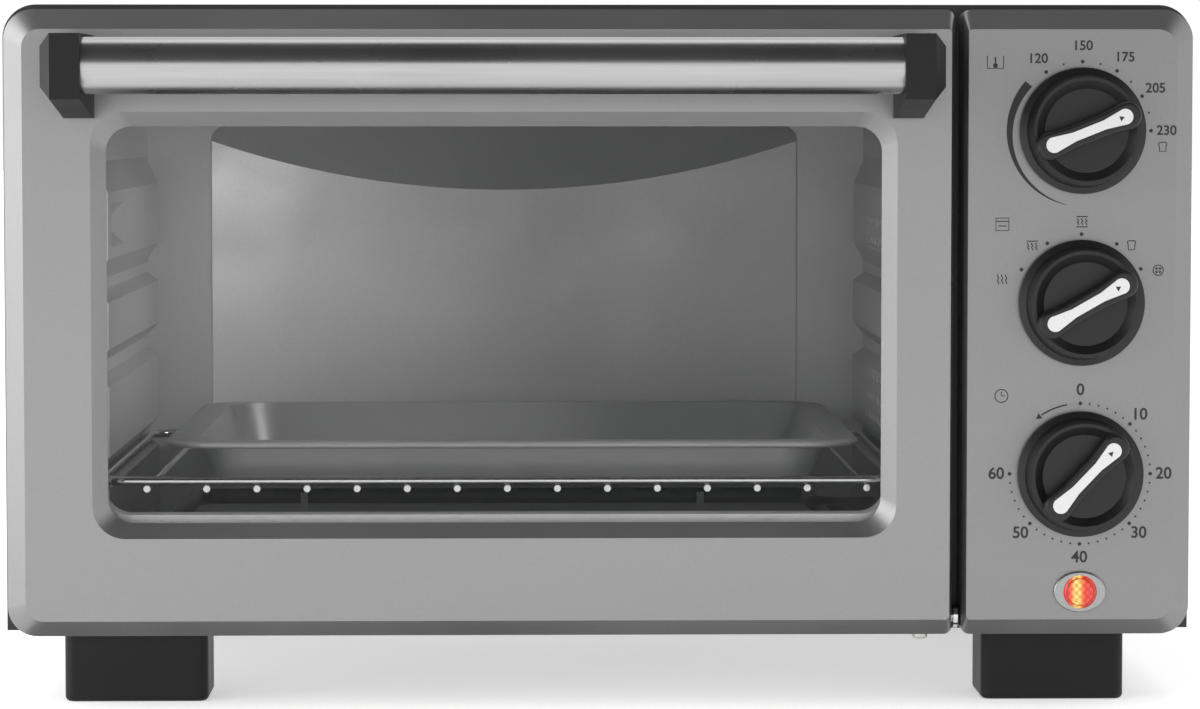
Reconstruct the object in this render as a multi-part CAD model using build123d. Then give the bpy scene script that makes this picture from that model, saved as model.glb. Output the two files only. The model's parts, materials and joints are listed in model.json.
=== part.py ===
from build123d import *
import os

# Countertop convection oven: a drop-down glass door on the left, a control panel with three knobs on the right.
# Millimetres. X runs to the right seen from the front, Y from front to back, Z up.
# The origin is the middle of the footprint, on the surface that the feet stand on.
# Sizes named inset, margin, gap or clear are measured from a neighbour; rise is above it and drop below it.

# Overall sizes
front_width = 440.0
front_height = 232.5
foot_height = 28.0
side_margin = 2.5
top_margin = 2.2
handle_reach = 50.0
body_depth = 300.0
rear_bulge = 27.0
panel_width = 85.0
seam_gap = 3.7

# Sheet thickness, fits and the length by which a cutting shape passes the face it opens
sheet = 1.0
skin = 1.5
running = 0.06
hole_clear = 0.2
screw_clear = 0.3
past = 1.0

# Outer wrap, base and back
wrap_corner = 12.5
louvre_rows = 9
louvre_pitch = 9.0
louvre_length = 52.0
louvre_height = 3.2
louvre_rise = 112.0
louvre_columns = (60.0, 200.0)
roof_vent_count = 14
roof_vent_pitch = 16.0
roof_vent_length = 34.0
roof_vent_width = 3.4
roof_vent_inset = 48.0
base_flange = 11.0
base_vent_count = 8
base_vent_depth = 90.0
base_vent_pitch = 15.0
base_vent_length = 46.0
base_vent_width = 4.0
bulge_margin_left = 12.6
bulge_margin_right = 13.2
bulge_margin_low = 8.0
bulge_margin_high = 13.0
bulge_draft = 13.0
bulge_corner = 16.0
back_vent_rows = 9
back_vent_inset = 16.5
back_vent_length = 66.0
back_vent_rise = 92.0

# Door
door_depth = 14.0
liner_depth = 8.0
frame_gap = 1.0
door_corner = 11.0
seam_corner = 3.0
edge_left = 7.2
edge_high = 7.4
edge_low = 6.0
edge_seam = 1.3
edge_depth = 5.0
corner_loss = 0.6
least_corner = 1.5
window_margin_left = 37.5
window_margin_right = 26.6
window_margin_low = 42.1
window_margin_high = 43.2
window_corner = 9.5
window_bevel = 5.4
window_recess = 5.0
window_lip = 1.0
gasket_thickness = 1.0
gasket_width = 4.0
glass_thickness = 4.0
glass_clear = 0.3
retainer_side = 2.4
retainer_low = 2.5
retainer_high = 1.5
liner_inset = 0.8
liner_sheet = 1.2
liner_heel = 3.0
door_screw_radius = 1.6
door_screw_head = 2.8
door_screw_head_height = 2.0
door_screw_sink = 0.8
door_screw_length = 8.8
door_screw_tip = 0.2
door_boss_radius = 4.0
door_boss_side = 17.0
door_boss_seam = 13.0
door_boss_low = 39.0
door_boss_high = 13.0

# Door hinge
hinge_rise = 6.0
hinge_inset = 11.5
hinge_pin_radius = 2.0
hinge_pin_grip = 6.5
hinge_pin_end = 1.0
hinge_pin_proud = 0.3
hinge_ear_radius = 4.4
hinge_ear_thickness = 1.6
hinge_slot_clear = 0.6
hinge_slot_front = 5.6
hinge_slot_height = 9.0
hinge_left_inset = 14.0
hinge_right_gap = 1.1
hinge_lug_height = 9.4
hinge_lug_front = 5.0
lug_wall = 3.0
lug_clear = 0.2
lug_screw_inset = 11.4
lug_screw_wall = 4.0
lug_screw_depth = 9.5

# Handle
bar_radius = 10.25
bar_wall = 1.2
bar_cover = 1.75
bar_socket = 5.0
bar_socket_end = 0.3
bar_clear = 0.05
handle_drop = 21.3
bracket_outset = 3.6
bracket_width = 15.3
bracket_over = 11.4
bracket_root_under = 18.9
bracket_nose_under = 12.2
bracket_flat = 5.0
bracket_side_cut = 4.5
bracket_cut_length = 10.0
handle_screw_radius = 2.0
handle_screw_clear = 0.1
handle_screw_head = 4.0
handle_screw_height = 2.4
handle_screw_length = 14.0
handle_screw_rise = 13.0

# Control panel, knobs and lamp
panel_bevel = 6.6
knob_inset = 41.6
temperature_drop = 44.8
timer_rise = 60.4
knob_radius = 23.3
knob_rim_radius = 21.0
knob_clear = 1.0
knob_flange = 2.0
knob_rim_step = 1.0
knob_face = 14.0
knob_face_radius = 19.6
knob_dish = 2.0
knob_dish_radius = 18.4
knob_dish_slope = 3.0
knob_wall = 2.0
knob_boss_radius = 6.0
knob_boss_inset = 0.5
grip_top = 20.0
grip_root = 0.5
grip_length = 40.6
grip_end = 10.3
grip_waist = 8.6
grip_waist_length = 14.0
grip_round = 1.4
pointer_length = 33.7
pointer_end = 5.8
pointer_waist = 3.4
pointer_waist_length = 12.0
pointer_sink = 0.5
pointer_proud = 0.3
temperature_angle = 21.7
function_angle = 29.7
timer_angle = 46.3
shaft_radius = 3.0
shaft_reach = 10.0
shaft_grip = 9.0
shaft_end_gap = 0.3
panel_hole_radius = 5.2
lamp_inset = 41.4
lamp_rise = 16.4
lamp_clear = 0.1
bezel_width = 19.6
bezel_height = 15.3
bezel_proud = 1.4
bezel_round = 0.7
bezel_stem_radius = 6.9
bezel_stem_length = 10.0
lens_radius = 6.2
lens_proud = 2.4
lens_length = 6.0
lens_round = 1.8
neon_radius = 3.2
neon_length = 9.0
neon_round = 1.5
neon_clear = 0.2

# Control units behind the panel
chassis_left_margin = 2.0
chassis_right_margin = 1.0
chassis_rise = 3.0
chassis_drop = 4.5
bay_inset = 6.0
bay_corner = 4.0
bushing_radius = 4.6
bushing_clear = 0.2
bushing_reach = 4.5
nut_radius = 7.0
nut_thickness = 2.4
thermostat_width = 40.0
thermostat_length = 24.0
thermostat_height = 34.0
thermostat_chamfer = 3.0
switch_radius = 20.0
switch_length = 26.0
timer_width = 48.0
timer_length = 26.0
timer_height = 44.0
timer_round = 2.0
bell_radius = 17.0
bell_depth = 12.0
bell_wall = 1.0
bell_round = 5.0
bell_crown = 4.0
bell_gap = 2.0
bell_post_radius = 2.0
bell_seat = 2.0
tab_width = 6.3
tab_length = 8.0
tab_thickness = 0.8
tab_root = 0.5
tab_rise = 8.0
tab_spread = 12.0
switch_tab_spread = 10.0

# Cooking cavity
cavity_left_gap = 31.0
cavity_right_gap = 10.7
cavity_rise = 14.0
cavity_drop = 22.5
rear_gap = 25.0
mouth_corner = 6.0
pocket_left_inset = 27.1
pocket_right_inset = 28.8
pocket_rise = 18.0
pocket_drop = 21.0
pocket_depth = 38.0
pocket_step = 9.0
pocket_slope = 28.7
pocket_sill = 12.0
pocket_corner = 7.0
bump_height = 5.7
bump_front = 14.0
bump_rear = 12.0
bump_end_draft = 6.0
# Each row of bumps: where its root and its face begin, and where its face and its root end, above the cavity floor
bump_rows = (
    (3.0, 11.0, 37.4, 40.0),
    (43.5, 49.4, 76.1, 79.0),
    (83.9, 90.3, 108.3, 111.7),
    (115.9, 124.6, 150.3, 161.7),
)
dent_front = 14.0
dent_length = 52.0
dent_height = 17.0
dent_floor_length = 22.0
dent_floor_height = 5.0
dent_depth = 4.6
dent_drop = 13.0
vent_rises = (56.0, 64.0, 73.0, 128.0, 136.0)
vent_columns = 7
vent_pitch = 12.5
vent_length = 7.5
vent_width = 3.0
floor_ledge = 20.0
shield_rise = 8.0
shield_inset = 14.0
shield_vent_count = 9
shield_vent_pitch = 28.0
shield_vent_length = 120.0
shield_vent_width = 5.0

# Heating elements
heater_radius = 3.25
heater_hole = 3.9
heater_drop = 16.0
heater_rise = 20.0
heater_left_inset = 26.5
heater_right_inset = 29.6
heater_front = 90.0
heater_rear = 200.0
heater_lead_front = 128.0
heater_lead_rear = 156.0
heater_bend = 11.0
heater_end = 14.4
insulator_radius = 6.0
insulator_bore = 3.35
insulator_end = 8.4
terminal_radius = 1.5
terminal_length = 9.0
support_width = 8.0
support_thickness = 3.0
support_clear = 0.1
support_inset = 45.0
rail_width = 8.0
rail_inset = 10.0

# Wire rack and baking tray
rack_rise = 41.6
rack_frame_radius = 1.75
rack_wire_radius = 1.3
rack_side_gap = 0.85
rack_front = 30.0
rack_rear_gap = 13.0
rack_corner = 10.0
rack_pitch = 18.9
rack_outer_pitch = 22.5
rack_left_span = 41.1
rack_right_span = 39.0
rack_weld = 0.15
rack_joint = 0.01
tray_left_gap = 27.2
tray_right_gap = 21.0
tray_front = 28.0
tray_rear_gap = 33.0
tray_height = 16.5
tray_seat = 0.3
tray_sheet = 0.8
tray_flange = 12.0
tray_lip = 6.0
tray_draft = 6.0
tray_corner = 20.0
tray_bead = 1.5
tray_open = 0.01

# Crumb tray
crumb_left_gap = 8.5
crumb_right_gap = 8.6
crumb_front = 34.0
crumb_lift = 0.4
crumb_height = 10.2
crumb_sheet = 0.8
crumb_end = 0.6
crumb_slot_side = 1.5
crumb_slot_top = 1.0
crumb_grip_width = 120.0
crumb_grip_reach = 12.0
crumb_grip_drop = 6.0

# Convection fan
fan_depth = 150.0
fan_rise = 96.0
fan_radius = 42.0
fan_width = 11.0
fan_blades = 12
fan_blade_sheet = 1.0
fan_hub_radius = 7.0
fan_hub_length = 14.0
fan_front_gap = 5.0
fan_shaft_radius = 2.0
shroud_length = 24.0
shroud_half = 48.0
shroud_flange = 7.0
shroud_hole = 3.5
motor_half_width = 26.0
motor_rise = 24.0
motor_drop = 32.0
motor_stack = 18.0
rotor_radius = 11.0
rotor_gap = 0.5
bridge_half_height = 10.0
bridge_thickness = 1.4
bridge_gap = 3.2
bridge_post_radius = 3.0
bridge_post_root = 0.1
bridge_post_spread = 20.0
coil_over = 2.5
coil_under = 6.0
coil_side = 6.4
coil_slot = 4.0
coil_proud = 2.0

# Feet, screws, cord gland and wiring
foot_width = 54.2
foot_length = 34.0
foot_left_inset = 18.1
foot_right_inset = 20.5
foot_front = 28.0
foot_rear_inset = 14.0
foot_round = 4.0
foot_edge = 2.0
foot_wall = 2.6
foot_boss_wall = 2.8
foot_boss_rise = 0.5
foot_recess = 5.0
foot_recess_depth = 12.0
foot_screw_radius = 2.0
foot_screw_clear = 0.1
foot_screw_head = 4.2
foot_screw_height = 2.6
foot_screw_length = 17.0
back_screw_radius = 1.7
back_screw_head = 3.6
back_screw_height = 2.0
back_screw_length = 7.0
back_screw_inset = 6.0
back_screw_rises = (18.0, 118.0, 212.0)
back_screw_spread = 120.0
gland_inset = 26.5
gland_rise = 38.0
gland_bore = 3.7
gland_radius = 7.0
gland_flange = 10.0
gland_flange_length = 4.0
gland_length = 8.0
block_inset = 54.5
block_rear_gap = 24.0
block_width = 34.0
block_length = 16.0
block_height = 14.0
block_pole_count = 3
block_hole_radius = 3.0
block_hole_depth = 4.0
wire_radius = 1.1
wire_bend = 4.0
wire_gap = 4.0
wire_lead = 14.0
wire_lead_step = 6.0
wire_stagger = 9.0
wire_drop = 30.0
wire_insets = (7.5, 14.5)

# Places that follow from the sizes above
housing_width = front_width + 2 * side_margin
y_face = handle_reach - (handle_reach + body_depth + rear_bulge) / 2
y_back = y_face + body_depth
y_door_back = y_face + door_depth
y_liner_back = y_door_back + liner_depth
y_frame = y_liner_back + frame_gap
y_cavity = y_frame + sheet
y_rear_wall = y_back - rear_gap
y_cover = y_back - sheet
x_front = front_width / 2
x_side = housing_width / 2
x_inside = x_side - sheet
z_base = foot_height
z_front_top = z_base + front_height
z_top = z_front_top + top_margin
z_inside_top = z_top - sheet
panel_left = x_front - panel_width
door_right = panel_left - seam_gap

window_left = -x_front + window_margin_left
window_right = door_right - window_margin_right
window_low = z_base + window_margin_low
window_high = z_front_top - window_margin_high
seat_left = window_left - window_bevel
seat_right = window_right + window_bevel
seat_low = window_low - window_bevel
seat_high = window_high + window_bevel
seat_corner = window_corner + window_bevel / 2
y_glass = y_face + window_recess + window_lip + gasket_thickness
y_glass_back = y_glass + glass_thickness

hinge_y = y_face + hinge_inset
hinge_z = z_base + hinge_rise
hinge_left = -x_front + hinge_left_inset
hinge_right = door_right + hinge_right_gap + hinge_ear_thickness / 2

bar_y = y_face - handle_reach + bar_cover + bar_radius
handle_height = z_front_top - handle_drop
bar_x0 = window_left - bracket_outset
bar_x1 = window_right + bracket_outset
bracket_top = handle_height + bracket_over
bracket_root_low = handle_height - bracket_root_under
bracket_nose_low = handle_height - bracket_nose_under
handle_screw_z = bracket_root_low + handle_screw_rise

knob_x = x_front - knob_inset
lamp_x = x_front - lamp_inset
lamp_z = z_base + lamp_rise
temperature_z = z_front_top - temperature_drop
timer_z = z_base + timer_rise
function_z = (temperature_z + timer_z) / 2
knobs = {
    "temperature": (temperature_z, temperature_angle),
    "function": (function_z, function_angle),
    "timer": (timer_z, timer_angle),
}
chassis_left = panel_left + chassis_left_margin
chassis_right = x_front - chassis_right_margin
chassis_low = z_base + chassis_rise
chassis_high = z_front_top - chassis_drop
y_unit = y_cavity + sheet
y_shaft_end = y_unit + shaft_grip

cavity_left = -x_side + cavity_left_gap
cavity_right = door_right - cavity_right_gap
cavity_low = z_base + cavity_rise
cavity_high = z_front_top - cavity_drop
wall_left = cavity_left - sheet
x_bay = cavity_right + sheet
z_floor_sheet = cavity_low - sheet
pocket_left = cavity_left + pocket_left_inset
pocket_right = cavity_right - pocket_right_inset
pocket_low = cavity_low + pocket_rise
pocket_high = cavity_high - pocket_drop
bulge_left = pocket_left - bulge_margin_left
bulge_right = pocket_right + bulge_margin_right
bulge_low = pocket_low - bulge_margin_low
bulge_high = pocket_high + bulge_margin_high

heater_high_z = cavity_high - heater_drop
heater_low_z = cavity_low + heater_rise
heater_left = cavity_left + heater_left_inset
heater_right = cavity_right - heater_right_inset
heater_leads = (y_face + heater_lead_front, y_face + heater_lead_rear)

rack_z = cavity_low + rack_rise
rack_x0 = cavity_left + rack_side_gap + rack_frame_radius
rack_x1 = cavity_right - rack_side_gap - rack_frame_radius
rack_y0 = y_face + rack_front
rack_y1 = y_rear_wall - rack_rear_gap
rack_middle_y = (rack_y0 + rack_y1) / 2
wire_z = rack_z - rack_frame_radius - rack_wire_radius + rack_weld

tray_left = cavity_left + tray_left_gap
tray_right = cavity_right - tray_right_gap
tray_x = (tray_left + tray_right) / 2
tray_y = (y_face + tray_front + y_rear_wall - tray_rear_gap) / 2
tray_width = tray_right - tray_left
tray_length = y_rear_wall - tray_rear_gap - y_face - tray_front
tray_z0 = wire_z + rack_wire_radius + tray_seat
tray_z1 = tray_z0 + tray_height

crumb_left = cavity_left + crumb_left_gap
crumb_right = cavity_right - crumb_right_gap
crumb_z = z_base + sheet + crumb_lift
crumb_top = crumb_z + crumb_height

fan_y = y_face + fan_depth
fan_z = cavity_low + fan_rise
fan_x = x_bay + fan_front_gap
x_shroud = x_bay + shroud_length
x_bridge = x_shroud + bridge_gap
x_stack = x_bridge + bridge_thickness + bridge_gap
x_stack_end = x_stack + motor_stack
x_bridge_end = x_stack_end + bridge_gap
coil_half = motor_half_width - coil_side
coil_z0 = fan_z - motor_drop + coil_under
coil_z1 = fan_z - rotor_radius - rotor_gap - coil_over

foot_places = [(x + foot_width / 2, y + foot_length / 2)
               for x in (-x_front + foot_left_inset, x_front - foot_right_inset - foot_width)
               for y in (y_face + foot_front, y_back - foot_rear_inset - foot_length)]
back_screws = [(side * (x_side - back_screw_inset), z_base + rise) for side in (-1, 1) for rise in back_screw_rises]
back_screws += [(side * back_screw_spread, z_top - back_screw_inset) for side in (-1, 0, 1)]
gland_x = x_side - gland_inset
gland_z = z_base + gland_rise
block_x = x_side - block_inset
block_y = y_back - block_rear_gap
block_top = z_base + sheet + block_height
block_poles = [block_x + (i - (block_pole_count - 1) / 2) * block_width / block_pole_count
               for i in range(block_pole_count)]


def box(x0, x1, y0, y1, z0, z1):
    """A block given by its six faces."""
    centre = Pos((x0 + x1) / 2, (y0 + y1) / 2, (z0 + z1) / 2)
    return centre * Box(x1 - x0, y1 - y0, z1 - z0)


def rod_x(radius, x0, x1, y, z):
    """A round bar that runs left to right."""
    return Pos((x0 + x1) / 2, y, z) * Rot(0, 90, 0) * Cylinder(radius, x1 - x0)


def rod_y(radius, x, y0, y1, z):
    """A round bar that runs front to back."""
    return Pos(x, (y0 + y1) / 2, z) * Rot(90, 0, 0) * Cylinder(radius, y1 - y0)


def rod_z(radius, x, y, z0, z1):
    """An upright round bar."""
    return Pos(x, y, (z0 + z1) / 2) * Cylinder(radius, z1 - z0)


def rounded(x0, x1, z0, z1, corners):
    """A rectangle with corner radii in the order low left, low right, high right, high left."""
    face = Pos((x0 + x1) / 2, (z0 + z1) / 2) * Rectangle(x1 - x0, z1 - z0)
    places = ((x0, z0), (x1, z0), (x1, z1), (x0, z1))
    for (x, z), radius in zip(places, corners):
        if radius > 0:
            vertex = min(face.vertices(), key=lambda v: abs(v.X - x) + abs(v.Y - z))
            face = fillet(vertex, radius)
    return face


def even(x0, x1, z0, z1, radius):
    """A rectangle with the same radius at all four corners."""
    return rounded(x0, x1, z0, z1, (radius,) * 4)


def slab(sketch, y0, y1):
    """A sketch drawn in X and Z made solid from y0 to y1."""
    return Pos(0, y1, 0) * extrude(Plane.XZ * sketch, y1 - y0)


def taper(front, y0, back, y1):
    """A straight-sided solid between two sketches in X and Z."""
    sections = [Pos(0, y0, 0) * (Plane.XZ * front), Pos(0, y1, 0) * (Plane.XZ * back)]
    return loft(sections, ruled=True)


def sheet_x(points, x0, x1):
    """A polygon of (Y, Z) points made solid from x0 to x1."""
    face = make_face(Polyline(*[(y, z) for y, z in points], close=True))
    return Pos(x0, 0, 0) * extrude(Plane.YZ * face, x1 - x0)


def sheet_z(points, z0, z1):
    """A polygon of (X, Y) points made solid from z0 to z1."""
    return Pos(0, 0, z0) * extrude(make_face(Polyline(*points, close=True)), z1 - z0)


def tube_along(points, radius, bend):
    """A round bar along straight runs joined by bends."""
    path = FilletPolyline(*points, radius=bend)
    start = Plane(origin=path @ 0, z_dir=path % 0)
    return sweep(start * Circle(radius), path=path)


def bevelled(x0, x1, z0, z1, corners, cuts, y0, y_edge, y1):
    """A plate with sloping edges at its front: cuts are left, right, low and high widths."""
    left, right, low, high = cuts
    side_cuts = (left, right, right, left)
    inner = [max(radius - corner_loss * max(side, low), least_corner) for radius, side in zip(corners, side_cuts)]
    front = rounded(x0 + left, x1 - right, z0 + low, z1 - high, inner)
    back = rounded(x0, x1, z0, z1, corners)
    return taper(front, y0, back, y_edge) + slab(back, y_edge, y1)


def dog_bone(length, end, waist, waist_length):
    """An outline with round ends and a narrower middle, lengthwise along X."""
    tip = length / 2 - end / 2
    points = [(-tip, -end / 2), (-waist_length / 2, -waist / 2), (waist_length / 2, -waist / 2), (tip, -end / 2),
              (tip, end / 2), (waist_length / 2, waist / 2), (-waist_length / 2, waist / 2), (-tip, end / 2)]
    bar = make_face(Polyline(*points, close=True))
    return bar + Pos(tip, 0) * Circle(end / 2) + Pos(-tip, 0) * Circle(end / 2)


def screw(shank, head, head_height, length):
    """A cross-recessed screw that points along +Z, its head below the origin plane."""
    edge_share, slot_share, arm_share = 0.3, 0.28, 1.2
    body = Pos(0, 0, -head_height / 2) * Cylinder(head, head_height)
    body = chamfer(body.edges().group_by(Axis.Z)[0], head_height * edge_share)
    arm, slot = head * arm_share, head * slot_share
    body -= Pos(0, 0, -head_height) * (Box(arm, slot, head_height) + Box(slot, arm, head_height))
    return body + Pos(0, 0, length / 2) * Cylinder(shank, length)


def places_along(middle, count, pitch):
    """Evenly spaced places on both sides of a middle."""
    return [middle + (i - (count - 1) / 2) * pitch for i in range(count)]


def save(shape, node):
    """Writes one sub-part as its own file."""
    solids = shape.solids()
    whole = solids[0] if len(solids) == 1 else Compound(children=list(solids))
    export_step(whole, f"parts/{node}.step")


def apart(shapes):
    """Separate solids that share one node."""
    return Compound(children=[solid for shape in shapes for solid in shape.solids()])


os.makedirs("parts", exist_ok=True)

# Outer wrap: one folded sheet over the sides and the top
top_corners = (0, 0, wrap_corner, wrap_corner)
inner_corners = (0, 0, wrap_corner - sheet, wrap_corner - sheet)
wrap_outer = rounded(-x_side, x_side, z_base, z_top, top_corners)
wrap_inner = rounded(-x_inside, x_inside, z_base - past, z_inside_top, inner_corners)
outer_housing = slab(wrap_outer - wrap_inner, y_frame, y_cover)
for row in range(louvre_rows):
    for depth in louvre_columns:
        z = z_base + louvre_rise + row * louvre_pitch
        y = y_face + depth
        outer_housing -= box(-x_side - past, x_side + past, y, y + louvre_length, z, z + louvre_height)
for x in places_along(0, roof_vent_count, roof_vent_pitch):
    y = y_back - roof_vent_inset
    outer_housing -= box(x, x + roof_vent_width, y - roof_vent_length, y, z_inside_top - past, z_top + past)
save(outer_housing, "outer_housing")

# Base plate with upturned sides, vents and holes for the foot screws
base_plate = box(-x_inside, x_inside, y_cavity, y_cover, z_base, z_base + sheet)
for side in (-1, 1):
    x0, x1 = sorted((side * (x_inside - sheet), side * x_inside))
    base_plate += box(x0, x1, y_cavity, y_cover, z_base, z_base + base_flange)
for i in range(base_vent_count):
    y = y_face + base_vent_depth + i * base_vent_pitch
    base_plate -= box(knob_x - base_vent_length / 2, knob_x + base_vent_length / 2, y, y + base_vent_width,
                      z_base - past, z_base + sheet + past)
for x, y in foot_places:
    base_plate -= rod_z(foot_screw_radius + screw_clear, x, y, z_base - past, z_base + sheet + past)
save(base_plate, "base_plate")

# Rear cover with a bulge over the rear pocket, a slot for the crumb tray and a hole for the cord gland
bulge_base = even(bulge_left, bulge_right, bulge_low, bulge_high, bulge_corner)
bulge_face = even(bulge_left + bulge_draft, bulge_right - bulge_draft, bulge_low + bulge_draft,
                     bulge_high - bulge_draft, bulge_corner)
bulge_hollow = even(bulge_left + sheet, bulge_right - sheet, bulge_low + sheet, bulge_high - sheet, bulge_corner)
rear_cover = slab(wrap_outer, y_cover, y_back) + taper(bulge_base, y_back, bulge_face, y_back + rear_bulge)
rear_cover -= Pos(0, -sheet, 0) * taper(bulge_hollow, y_back, bulge_face, y_back + rear_bulge)
rear_cover -= box(crumb_left - crumb_slot_side, crumb_right + crumb_slot_side, y_cover - past, y_back + past,
                  z_base - past, crumb_top + crumb_slot_top)
back_vent_right = x_side - back_vent_inset
for row in range(back_vent_rows):
    z = z_base + back_vent_rise + row * louvre_pitch
    rear_cover -= box(back_vent_right - back_vent_length, back_vent_right, y_cover - past, y_back + past,
                      z, z + louvre_height)
rear_cover -= rod_y(gland_radius + hole_clear, gland_x, y_cover - past, y_back + past, gland_z)
for x, z in back_screws:
    rear_cover -= rod_y(back_screw_radius + hole_clear, x, y_cover - past, y_back + past, z)
save(rear_cover, "rear_cover")
back_screw = Rot(90, 0, 0) * screw(back_screw_radius, back_screw_head, back_screw_height, back_screw_length)
save(apart([Pos(x, y_back, z) * back_screw for x, z in back_screws]), "housing_screws")

# Front frame: the black sheet around the oven mouth, open behind the control panel
frame_face = rounded(-x_inside, x_inside, z_base, z_inside_top, inner_corners)
mouth = even(cavity_left, cavity_right, cavity_low, cavity_high, mouth_corner)
bay_hole = even(chassis_left + bay_inset, chassis_right - bay_inset, chassis_low + bay_inset,
                   chassis_high - bay_inset, bay_corner)
save(slab(frame_face - mouth - bay_hole, y_frame, y_cavity), "front_frame")


# Cavity side walls: flat sheets pressed into long bumps that leave runners for the rack
def pressed(x_root, x_face, root, face):
    """A wedge between two rectangles, each given as its first and last Y, then its low and high Z."""
    sections = []
    for x, (y0, y1, z0, z1) in ((x_root, root), (x_face, face)):
        plane = Plane(origin=(x, (y0 + y1) / 2, (z0 + z1) / 2), x_dir=(0, 1, 0), z_dir=(1, 0, 0))
        sections.append(plane * Rectangle(y1 - y0, z1 - z0))
    return loft(sections, ruled=True)


def bump(x_plane, direction, row):
    """One pressed bump of a wall whose inner face lies in x_plane."""
    root_low, face_low, face_high, root_high = (cavity_low + rise for rise in row)
    y0 = y_cavity + bump_front
    y1 = y_rear_wall - bump_rear
    root = (y0, y1, root_low, root_high)
    face = (y0 + bump_end_draft, y1 - bump_end_draft, face_low, face_high)
    return pressed(x_plane, x_plane + direction * bump_height, root, face)


def dent(x_plane, direction):
    """The dent pressed back into the front end of the highest bump, wider at the bump's face."""
    middle_y = y_cavity + bump_front + bump_end_draft + dent_front + dent_length / 2
    middle_z = cavity_low + bump_rows[-1][2] - dent_drop
    x_face = x_plane + direction * bump_height
    mouth_box = (middle_y - dent_length / 2, middle_y + dent_length / 2,
                 middle_z - dent_height / 2, middle_z + dent_height / 2)
    floor_box = (middle_y - dent_floor_length / 2, middle_y + dent_floor_length / 2,
                 middle_z - dent_floor_height / 2, middle_z + dent_floor_height / 2)
    return pressed(x_face, x_face - direction * dent_depth, mouth_box, floor_box)


def side_wall(x_plane, direction):
    """A cavity side wall whose inner face lies in x_plane and whose bumps stand out in direction."""
    x0, x1 = sorted((x_plane, x_plane - direction * sheet))
    wall = box(x0, x1, y_cavity, y_rear_wall, cavity_low, cavity_high)
    bumps = [bump(x_plane, direction, row) for row in bump_rows]
    bumps[-1] -= dent(x_plane, direction)
    behind = Pos(-direction * sheet, 0, 0)
    for each in bumps:
        wall += each
    for each in bumps:
        wall -= behind * each
    return wall


save(side_wall(cavity_left, 1), "cavity_left_wall")

cavity_right_wall = side_wall(cavity_right, -1)
x_bump_face = cavity_right - bump_height
for rise in vent_rises:
    z = cavity_low + rise
    for y in places_along(fan_y, vent_columns, vent_pitch):
        cavity_right_wall -= box(x_bump_face - past, x_bay + past, y - vent_length / 2, y + vent_length / 2,
                                 z - vent_width / 2, z + vent_width / 2)
for z in (heater_low_z, heater_high_z):
    for y in heater_leads:
        cavity_right_wall -= rod_x(heater_hole, x_bump_face - past, x_bay + past, y, z)
save(cavity_right_wall, "cavity_right_wall")


# Cavity rear wall with a round-backed pocket and a sloping pocket roof
def pocket(grow):
    """The pocket as a solid, made larger all round by grow."""
    x0 = pocket_left - grow
    x1 = pocket_right + grow
    z0 = pocket_low - grow
    z1 = pocket_high + grow
    y_step = y_rear_wall + pocket_step + grow
    y_deep = y_rear_wall + pocket_depth + grow
    outline = even(x0, x1, z0, z1, pocket_corner)
    body = slab(outline, y_rear_wall, y_deep + past)
    arc = ThreePointArc((x1, y_step), ((x0 + x1) / 2, y_deep), (x0, y_step))
    sides = Polyline((x0, y_step), (x0, y_rear_wall), (x1, y_rear_wall), (x1, y_step))
    plan = Pos(0, 0, z0) * extrude(make_face(arc + sides), z1 - z0)
    profile = sheet_x([(y_rear_wall, z0), (y_deep, z0 + pocket_sill), (y_deep, z1 - pocket_slope), (y_rear_wall, z1)],
                      x0, x1)
    return body & plan & profile


cavity_rear_wall = box(wall_left, x_bay, y_rear_wall, y_rear_wall + sheet, z_floor_sheet, cavity_high + sheet)
save(cavity_rear_wall + pocket(sheet) - pocket(0), "cavity_rear_wall")

save(box(wall_left, x_bay, y_cavity, y_rear_wall, cavity_high, cavity_high + sheet), "cavity_roof")

cavity_floor = box(wall_left, x_bay, y_cavity, y_rear_wall, z_floor_sheet, cavity_low)
cavity_floor -= box(wall_left + floor_ledge, x_bay - floor_ledge, y_cavity + floor_ledge, y_rear_wall - floor_ledge,
                    z_floor_sheet - past, cavity_low + past)
save(cavity_floor, "cavity_floor")

# Heat shield over the cavity: a vented sheet on two folded legs
shield_z = cavity_high + sheet + shield_rise
shield_y0 = y_cavity + shield_inset
shield_y1 = y_rear_wall - shield_inset
heat_shield = box(wall_left, x_bay, shield_y0, shield_y1, shield_z, shield_z + sheet)
for y in (shield_y0, shield_y1 - sheet):
    heat_shield += box(wall_left, x_bay, y, y + sheet, cavity_high + sheet, shield_z)
for x in places_along((wall_left + x_bay) / 2, shield_vent_count, shield_vent_pitch):
    heat_shield -= box(x, x + shield_vent_width, -shield_vent_length / 2, shield_vent_length / 2,
                       shield_z - past, shield_z + sheet + past)
save(heat_shield, "heat_shield")


# Heating elements: one flat loop under the roof and one over the floor
def heater(z):
    """A tube loop with both ends through the right wall, and its terminal pins."""
    front = y_face + heater_front
    rear = y_face + heater_rear
    lead_front, lead_rear = heater_leads
    x_end = x_bay + heater_end
    points = [(x_end, lead_front, z), (heater_right, lead_front, z), (heater_right, front, z),
              (heater_left, front, z), (heater_left, rear, z), (heater_right, rear, z),
              (heater_right, lead_rear, z), (x_end, lead_rear, z)]
    loop = tube_along(points, heater_radius, heater_bend)
    for y in heater_leads:
        loop += rod_x(terminal_radius, x_end - past, x_end + terminal_length, y, z)
    return loop


save(heater(heater_high_z), "upper_heating_element")
save(heater(heater_low_z), "lower_heating_element")

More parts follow.
